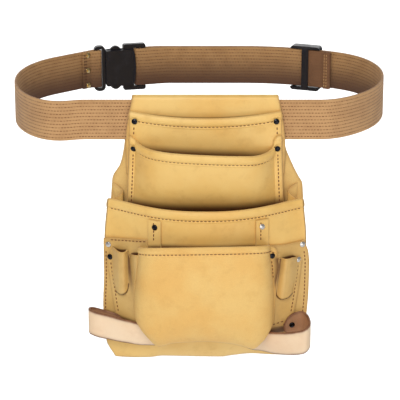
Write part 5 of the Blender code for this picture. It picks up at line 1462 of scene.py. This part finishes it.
def slit_shade(x, z, slit):
    # Painted shade along a half-moon slit.
    spots = np.linspace(slit[0][0], slit[-1][0], SLIT_POINTS)
    levels = smooth_through(spots, slit)
    far = np.min(np.hypot(x[..., None] - spots, z[..., None] - levels), axis=-1)
    return np.minimum(SLIT_DARK * np.exp(-(far / SLIT_HALF) ** 2), 1.0)


def crease_shade(x, z, top, foot, tall):
    # Painted shade in the valley beside a tube.
    valley = mix(top, foot, ease((CREASE_TOP - z) / tall))
    return CREASE_DARK * np.exp(-((x - valley) / CREASE_HALF) ** 2) * ease((z - CREASE_FOOT) / CREASE_FADE)


def make_overlay(word, side, lift, top, edge, inner, slit, crease, nodes, thread):
    # The leather over a tool panel that forms its tubes, sewn down along its outer edge.
    def face(x, z):
        return tube_seat(x, z) + lift(x, z) + SOFT_LEATHER
    foot, start = edge[0][0], edge[-1][0]
    across, down = plain_grid(121, 181)
    x = mix(inner(top[0][1]), smooth_through(start, edge), across)
    z = mix(smooth_through(x, top), foot, down)
    x = mix(inner(z), smooth_through(z, edge), across)
    # Painted shade along the slit, in the valley and behind the hammer strap; the back is half darkened as
    # painted shade inside the tubes.
    shadow = np.maximum(slit_shade(x, z, slit), crease_shade(x, z, *crease))
    shadow = np.maximum(shadow, behind_strap(x, z))
    leather_piece("tool_tube_leather_" + word, in_pouch(x, tube_seat(x, z) + lift(x, z), z), SOFT_LEATHER,
                  [SHADED_BUFF, FLESH], nodes, side=side, raw=(0.3, 0.3, 0.0, 0.5), painted_shade=shadow,
                  painted_shade_back=0.5)
    z = np.linspace(start - TUBE_SEAM_DOWN, TUBE_SEAM_FOOT, 40)
    sew_on(thread, face, smooth_through(z, edge) - side * TUBE_SEAM_IN, z)
    return face


def left_overlay_start(z):
    return smooth_through(z, CENTRE_LEFTS) - BESIDE


def right_overlay_start(z):
    return smooth_through(z, CENTRE_RIGHTS) + smooth_through(z, CENTRE_FLANGES) + BESIDE


def centre_flange_face(x, z):
    return centre_seat(x, z) + SOFT_LEATHER


def centre_row(z, columns):
    # One level of the centre pouch: its wall's line in plan from its left seam to its right flange.
    left = float(smooth_through(z, CENTRE_LEFTS))
    right = float(smooth_through(z, CENTRE_RIGHTS))
    peak = float(tube_seat(0.0, z)) + float(smooth_through(z, CENTRE_LIFTS))
    angle = np.linspace(0.0, math.pi, columns)
    across = np.sign(-np.cos(angle)) * np.abs(np.cos(angle)) ** CENTRE_ROUND
    x = (left + right) / 2 + (right - left) / 2 * across
    seat = mix(float(centre_seat(left, z)), float(centre_seat(right, z)), (across + 1) / 2)
    forward = mix(seat, peak, np.maximum(np.sin(angle), 0.0) ** CENTRE_ROUND)
    edge = right + float(smooth_through(z, CENTRE_FLANGES)) * np.array(FLANGE_STEPS)
    x = np.concatenate((x, edge))
    forward = np.concatenate((forward, centre_seat(edge, z)))
    slope = np.concatenate((np.zeros(columns), FLANGE_STEPS))
    return x, forward, peak, slope


def make_centre_pouch(thread):
    downs = rows_down(hem_share=0.12, near=26, far=80)
    grid = []
    for down in downs:
        z = mix(CENTRE_RIM, CENTRE_FOOT, down)
        x, forward, peak, slope = centre_row(z, 141)
        tilt = CENTRE_RIM_TILT * (1 - down) * (x - x[0]) / (x[-1] - x[0])
        drop = (CENTRE_RIM_DROP * (peak - forward) + CENTRE_FLANGE_DROP * slope) * (1 - down) ** 2
        hang = ease((down - CENTRE_HANG_FROM) / (1 - CENTRE_HANG_FROM)) * smooth_through(x, CENTRE_FOOT_LINE)
        belly = math.sin(math.pi * down) * ease((forward - forward.min()) / WAVE_FROM)
        uneven = WAVE_RISE * waver(x, z) * belly
        grid.append(in_pouch(x, forward + uneven, z + tilt - drop + hang))
    grid = np.array(grid)
    columns = grid.shape[1]
    below = (CENTRE_RIM - CENTRE_FOOT) * downs[:, None] * np.ones((1, columns))
    thick = SOFT_LEATHER + hem(below, CENTRE_HEM)
    # Painted shade on the flange's columns, in the valley beside the tube.
    flange_shade = np.zeros(columns)
    flange_shade[-len(FLANGE_DARK):] = FLANGE_DARK
    shadow = flange_shade * ease((below - CENTRE_HEM) / FLANGE_DARK_FADE)
    shadow = shadow * ease((FLANGE_DARK_END - below) / FLANGE_DARK_OUT)
    leather_piece("centre_pouch_leather", grid, thick, [SUEDE, FLESH], ("centre_pouch",),
                  raw=(0.0, 0.9, 0.6, 0.5), painted_shade=shadow)
    normal = unit(np.cross(np.gradient(grid, axis=0), np.gradient(grid, axis=1)))
    front = grid + normal * thick[..., None]
    row = int(np.argmin(np.abs(below[:, 0] - CENTRE_HEM + THREAD_IN)))
    sewn = slice(CENTRE_SEAM_SKIP, columns - 1)
    thread.sew(front[row, sewn], normal[row, sewn])
    z = np.linspace(*CENTRE_SIDE_SEAM, 8)
    sew_on(thread, centre_flange_face, smooth_through(z, CENTRE_RIGHTS) + CENTRE_SIDE_SEAM_OUT, z)
    rivet_on("rivet_centre", centre_flange_face, *CENTRE_RIVET, DARK_RIVET)


def make_hammer_strap():
    x, lift, rise = smooth_line(HAMMER_PATH, 10).T
    reached = reach_along(np.column_stack((x, lift)))
    end = np.minimum(reached, reached[-1] - reached)
    width = np.sqrt(np.clip(1.0 - (1.0 - np.minimum(end / TAB_ROUND, 1.0)) ** 2, TAB_LEAST, 1.0))
    rows = []
    for share in np.linspace(1.0, -1.0, 23):
        z = hammer_level(x) + rise + share * HAMMER_HALF * width
        line = np.column_stack((x, hammer_seat(x, z) + HAMMER_THICK / 2 + np.maximum(lift, 0.0)))
        moved = offset_points(line, -HAMMER_THICK / 2)
        rows.append(in_pouch(moved[:, 0], moved[:, 1], z))
    leather_piece("hammer_strap_leather", np.array(rows), HAMMER_THICK, [PALE, PALE_INSIDE_AND_SHADE],
                  ("hammer_strap",), raw=(1.0, 1.0, 0.6, 0.6))
    for word, x, z in HAMMER_RIVETS:
        rivet_on("rivet_hammer_" + word, hammer_tab_face, x, z, DARK_RIVET)


def make_pouch():
    thread = Thread()
    make_back_panel(thread)
    make_upper_pocket(thread)
    make_middle_pocket(thread)
    make_main_front(thread)
    for word, side in SIDES:
        make_gusset(word, side)
    make_tab("left", TAB_LEFT_X, DARK_RIVET, thread)
    make_tab("right", TAB_RIGHT_X, BRIGHT_RIVET, thread)
    make_tool_panel("left", -1, TOOL_LEFT_INNER, TOOL_LEFT_TOP, TOOL_LEFT_SIDE, TUBE_LEFT_MOUTHS,
                    TUBE_LEFT_TOP, TOOL_LEFT_SEAM_IN, thread)
    make_tool_panel("right", 1, TOOL_RIGHT_INNER, TOOL_RIGHT_TOP, TOOL_RIGHT_SIDE, TUBE_RIGHT_MOUTHS,
                    TUBE_RIGHT_TOP, TOOL_RIGHT_SEAM_IN, thread)
    x = np.linspace(*TOOL_TOP_SEAM, 26)
    sew_on(thread, tool_face, x, smooth_through(x, TOOL_LEFT_TOP) - TOOL_TOP_SEAM_IN)
    face = make_overlay("left", -1, left_tubes, TUBE_LEFT_TOP, TUBE_LEFT_SIDE, left_overlay_start,
                        TUBE_LEFT_SLIT, CREASE_LEFT, ("tool_tube_left_outer", "tool_tube_left_inner"),
                        thread)
    rivet_on("rivet_tube_left", face, *TUBE_LEFT_RIVET, DARK_RIVET)
    face = make_overlay("right", 1, right_tubes, TUBE_RIGHT_TOP, TUBE_RIGHT_SIDE, right_overlay_start,
                        TUBE_RIGHT_SLIT, CREASE_RIGHT, ("tool_tube_right",), thread)
    rivet_on("rivet_tube_right", face, *TUBE_RIGHT_RIVET, BRIGHT_RIVET)
    x, z = [np.linspace(*ends, 8) for ends in TUBE_FOOT_SEAM]
    sew_on(thread, face, x, z)
    make_centre_pouch(thread)
    make_hammer_strap()
    thread.make("pouch_stitching", "pouch")


# Buckle, slider and strap end

def in_buckle(along, height, depth):
    spot = PLUG_BAR + BUCKLE_AXIS * along + BUCKLE_OUT * depth
    return (spot.x, spot.y, height)


def make_socket_rim():
    # The raised bead along the socket's curved end.
    height = SOCKET_HALF_HEIGHT - RIM_END_IN
    points = []
    for share in np.linspace(-1.0, 1.0, RIM_STEPS):
        wide = math.sqrt(max(1.0 - abs(share) ** RIM_TAPER, RIM_LEAST))
        along = SOCKET_END - RIM_IN + RIM_BOW * (1.0 - share * share)
        for right, up in around(RIM_SIDES):
            points.append(in_buckle(along + RIM_WIDE * wide * right, share * height,
                                    SOCKET_FACE + RIM_HIGH * wide * up))
    faces = tube_faces(RIM_STEPS, RIM_SIDES)
    finish_piece("socket_rim", points, faces, [PLASTIC], "belt", ())


def make_socket_mark():
    # A small raised square of the moulding on the socket's face.
    middle, level = SOCKET_MARK
    points = []
    for depth, scale in MARK_LEVELS:
        for parts in around(MARK_SIDES):
            across, upward = [math.copysign(abs(part) ** MARK_SQUARE, part) * MARK_HALF for part in parts]
            points.append(in_buckle(middle + across * scale, level + upward * scale, SOCKET_FACE + depth))
    faces = tube_faces(len(MARK_LEVELS), MARK_SIDES)
    finish_piece("socket_mark", points, faces, [PLASTIC], "belt", ())


def make_hardware():
    for node in MOULDED:
        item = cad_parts[node]
        item.data.materials.clear()
        item.data.materials.append(PLASTIC)
        soften = item.modifiers.new("rounded_edges", "BEVEL")
        soften.width = MOULD_ROUND
        soften.segments = MOULD_STEPS
        soften.limit_method = "ANGLE"
        soften.angle_limit = MOULD_ANGLE
        soften.harden_normals = True
    make_socket_rim()
    make_socket_mark()
    place = FOLD_FACE - END_AXIS * FOLD_RIVET_IN
    for word, height in (("top", 1), ("mid", 0), ("low", -1)):
        make_rivet("rivet_fold_" + word, (place.x, place.y, height * FOLD_RIVET_SPACING),
                   (-END_OUT.x, -END_OUT.y, 0.0), BRASS_RIVET, "left_end")


# Studio

def make_camera(scene):
    data = bpy.data.cameras.new("camera")
    data.lens = CAMERA_LENS
    data.sensor_width = CAMERA_SENSOR
    camera = bpy.data.objects.new("camera", data)
    scene.collection.objects.link(camera)
    back = Vector((0.0, -math.cos(CAMERA_RISE), math.sin(CAMERA_RISE)))
    camera.location = CAMERA_AIM + back * CAMERA_DISTANCE
    camera.rotation_euler = (math.pi / 2 - CAMERA_RISE, 0.0, 0.0)
    scene.camera = camera


def make_lights(scene):
    world = bpy.data.worlds.new("studio")
    world.use_nodes = True
    sky = world.node_tree.nodes["Background"].inputs
    sky["Color"].default_value = SKY_TONE
    sky["Strength"].default_value = SKY_STRENGTH
    scene.world = world
    for name, place, size, power, aim in LAMPS:
        lamp = bpy.data.lights.new(name, "AREA")
        lamp.shape = "ELLIPSE"
        lamp.size, lamp.size_y = size
        lamp.energy = power
        holder = bpy.data.objects.new(name, lamp)
        holder.location = place
        holder.rotation_euler = (aim - Vector(place)).to_track_quat("-Z", "Y").to_euler()
        scene.collection.objects.link(holder)


def make_floor(scene):
    mesh = bpy.data.meshes.new("floor")
    corners = ((-1, -1), (1, -1), (1, 1), (-1, 1))
    mesh.from_pydata([(FLOOR_REACH * x, FLOOR_REACH * y, FLOOR_LEVEL) for x, y in corners], [], [range(4)])
    floor = bpy.data.objects.new("floor", mesh)
    scene.collection.objects.link(floor)
    paint = bpy.data.materials.new("pale_floor")
    paint.use_nodes = True
    shader = paint.node_tree.nodes["Principled BSDF"].inputs
    shader["Base Color"].default_value = FLOOR_TONE
    shader["Roughness"].default_value = FLOOR_ROUGH
    mesh.materials.append(paint)


def make_studio():
    scene = bpy.context.scene
    scene.view_settings.view_transform = "Standard"
    make_camera(scene)
    make_lights(scene)
    make_floor(scene)


make_studio()
make_webbing()
make_pouch()
make_hardware()
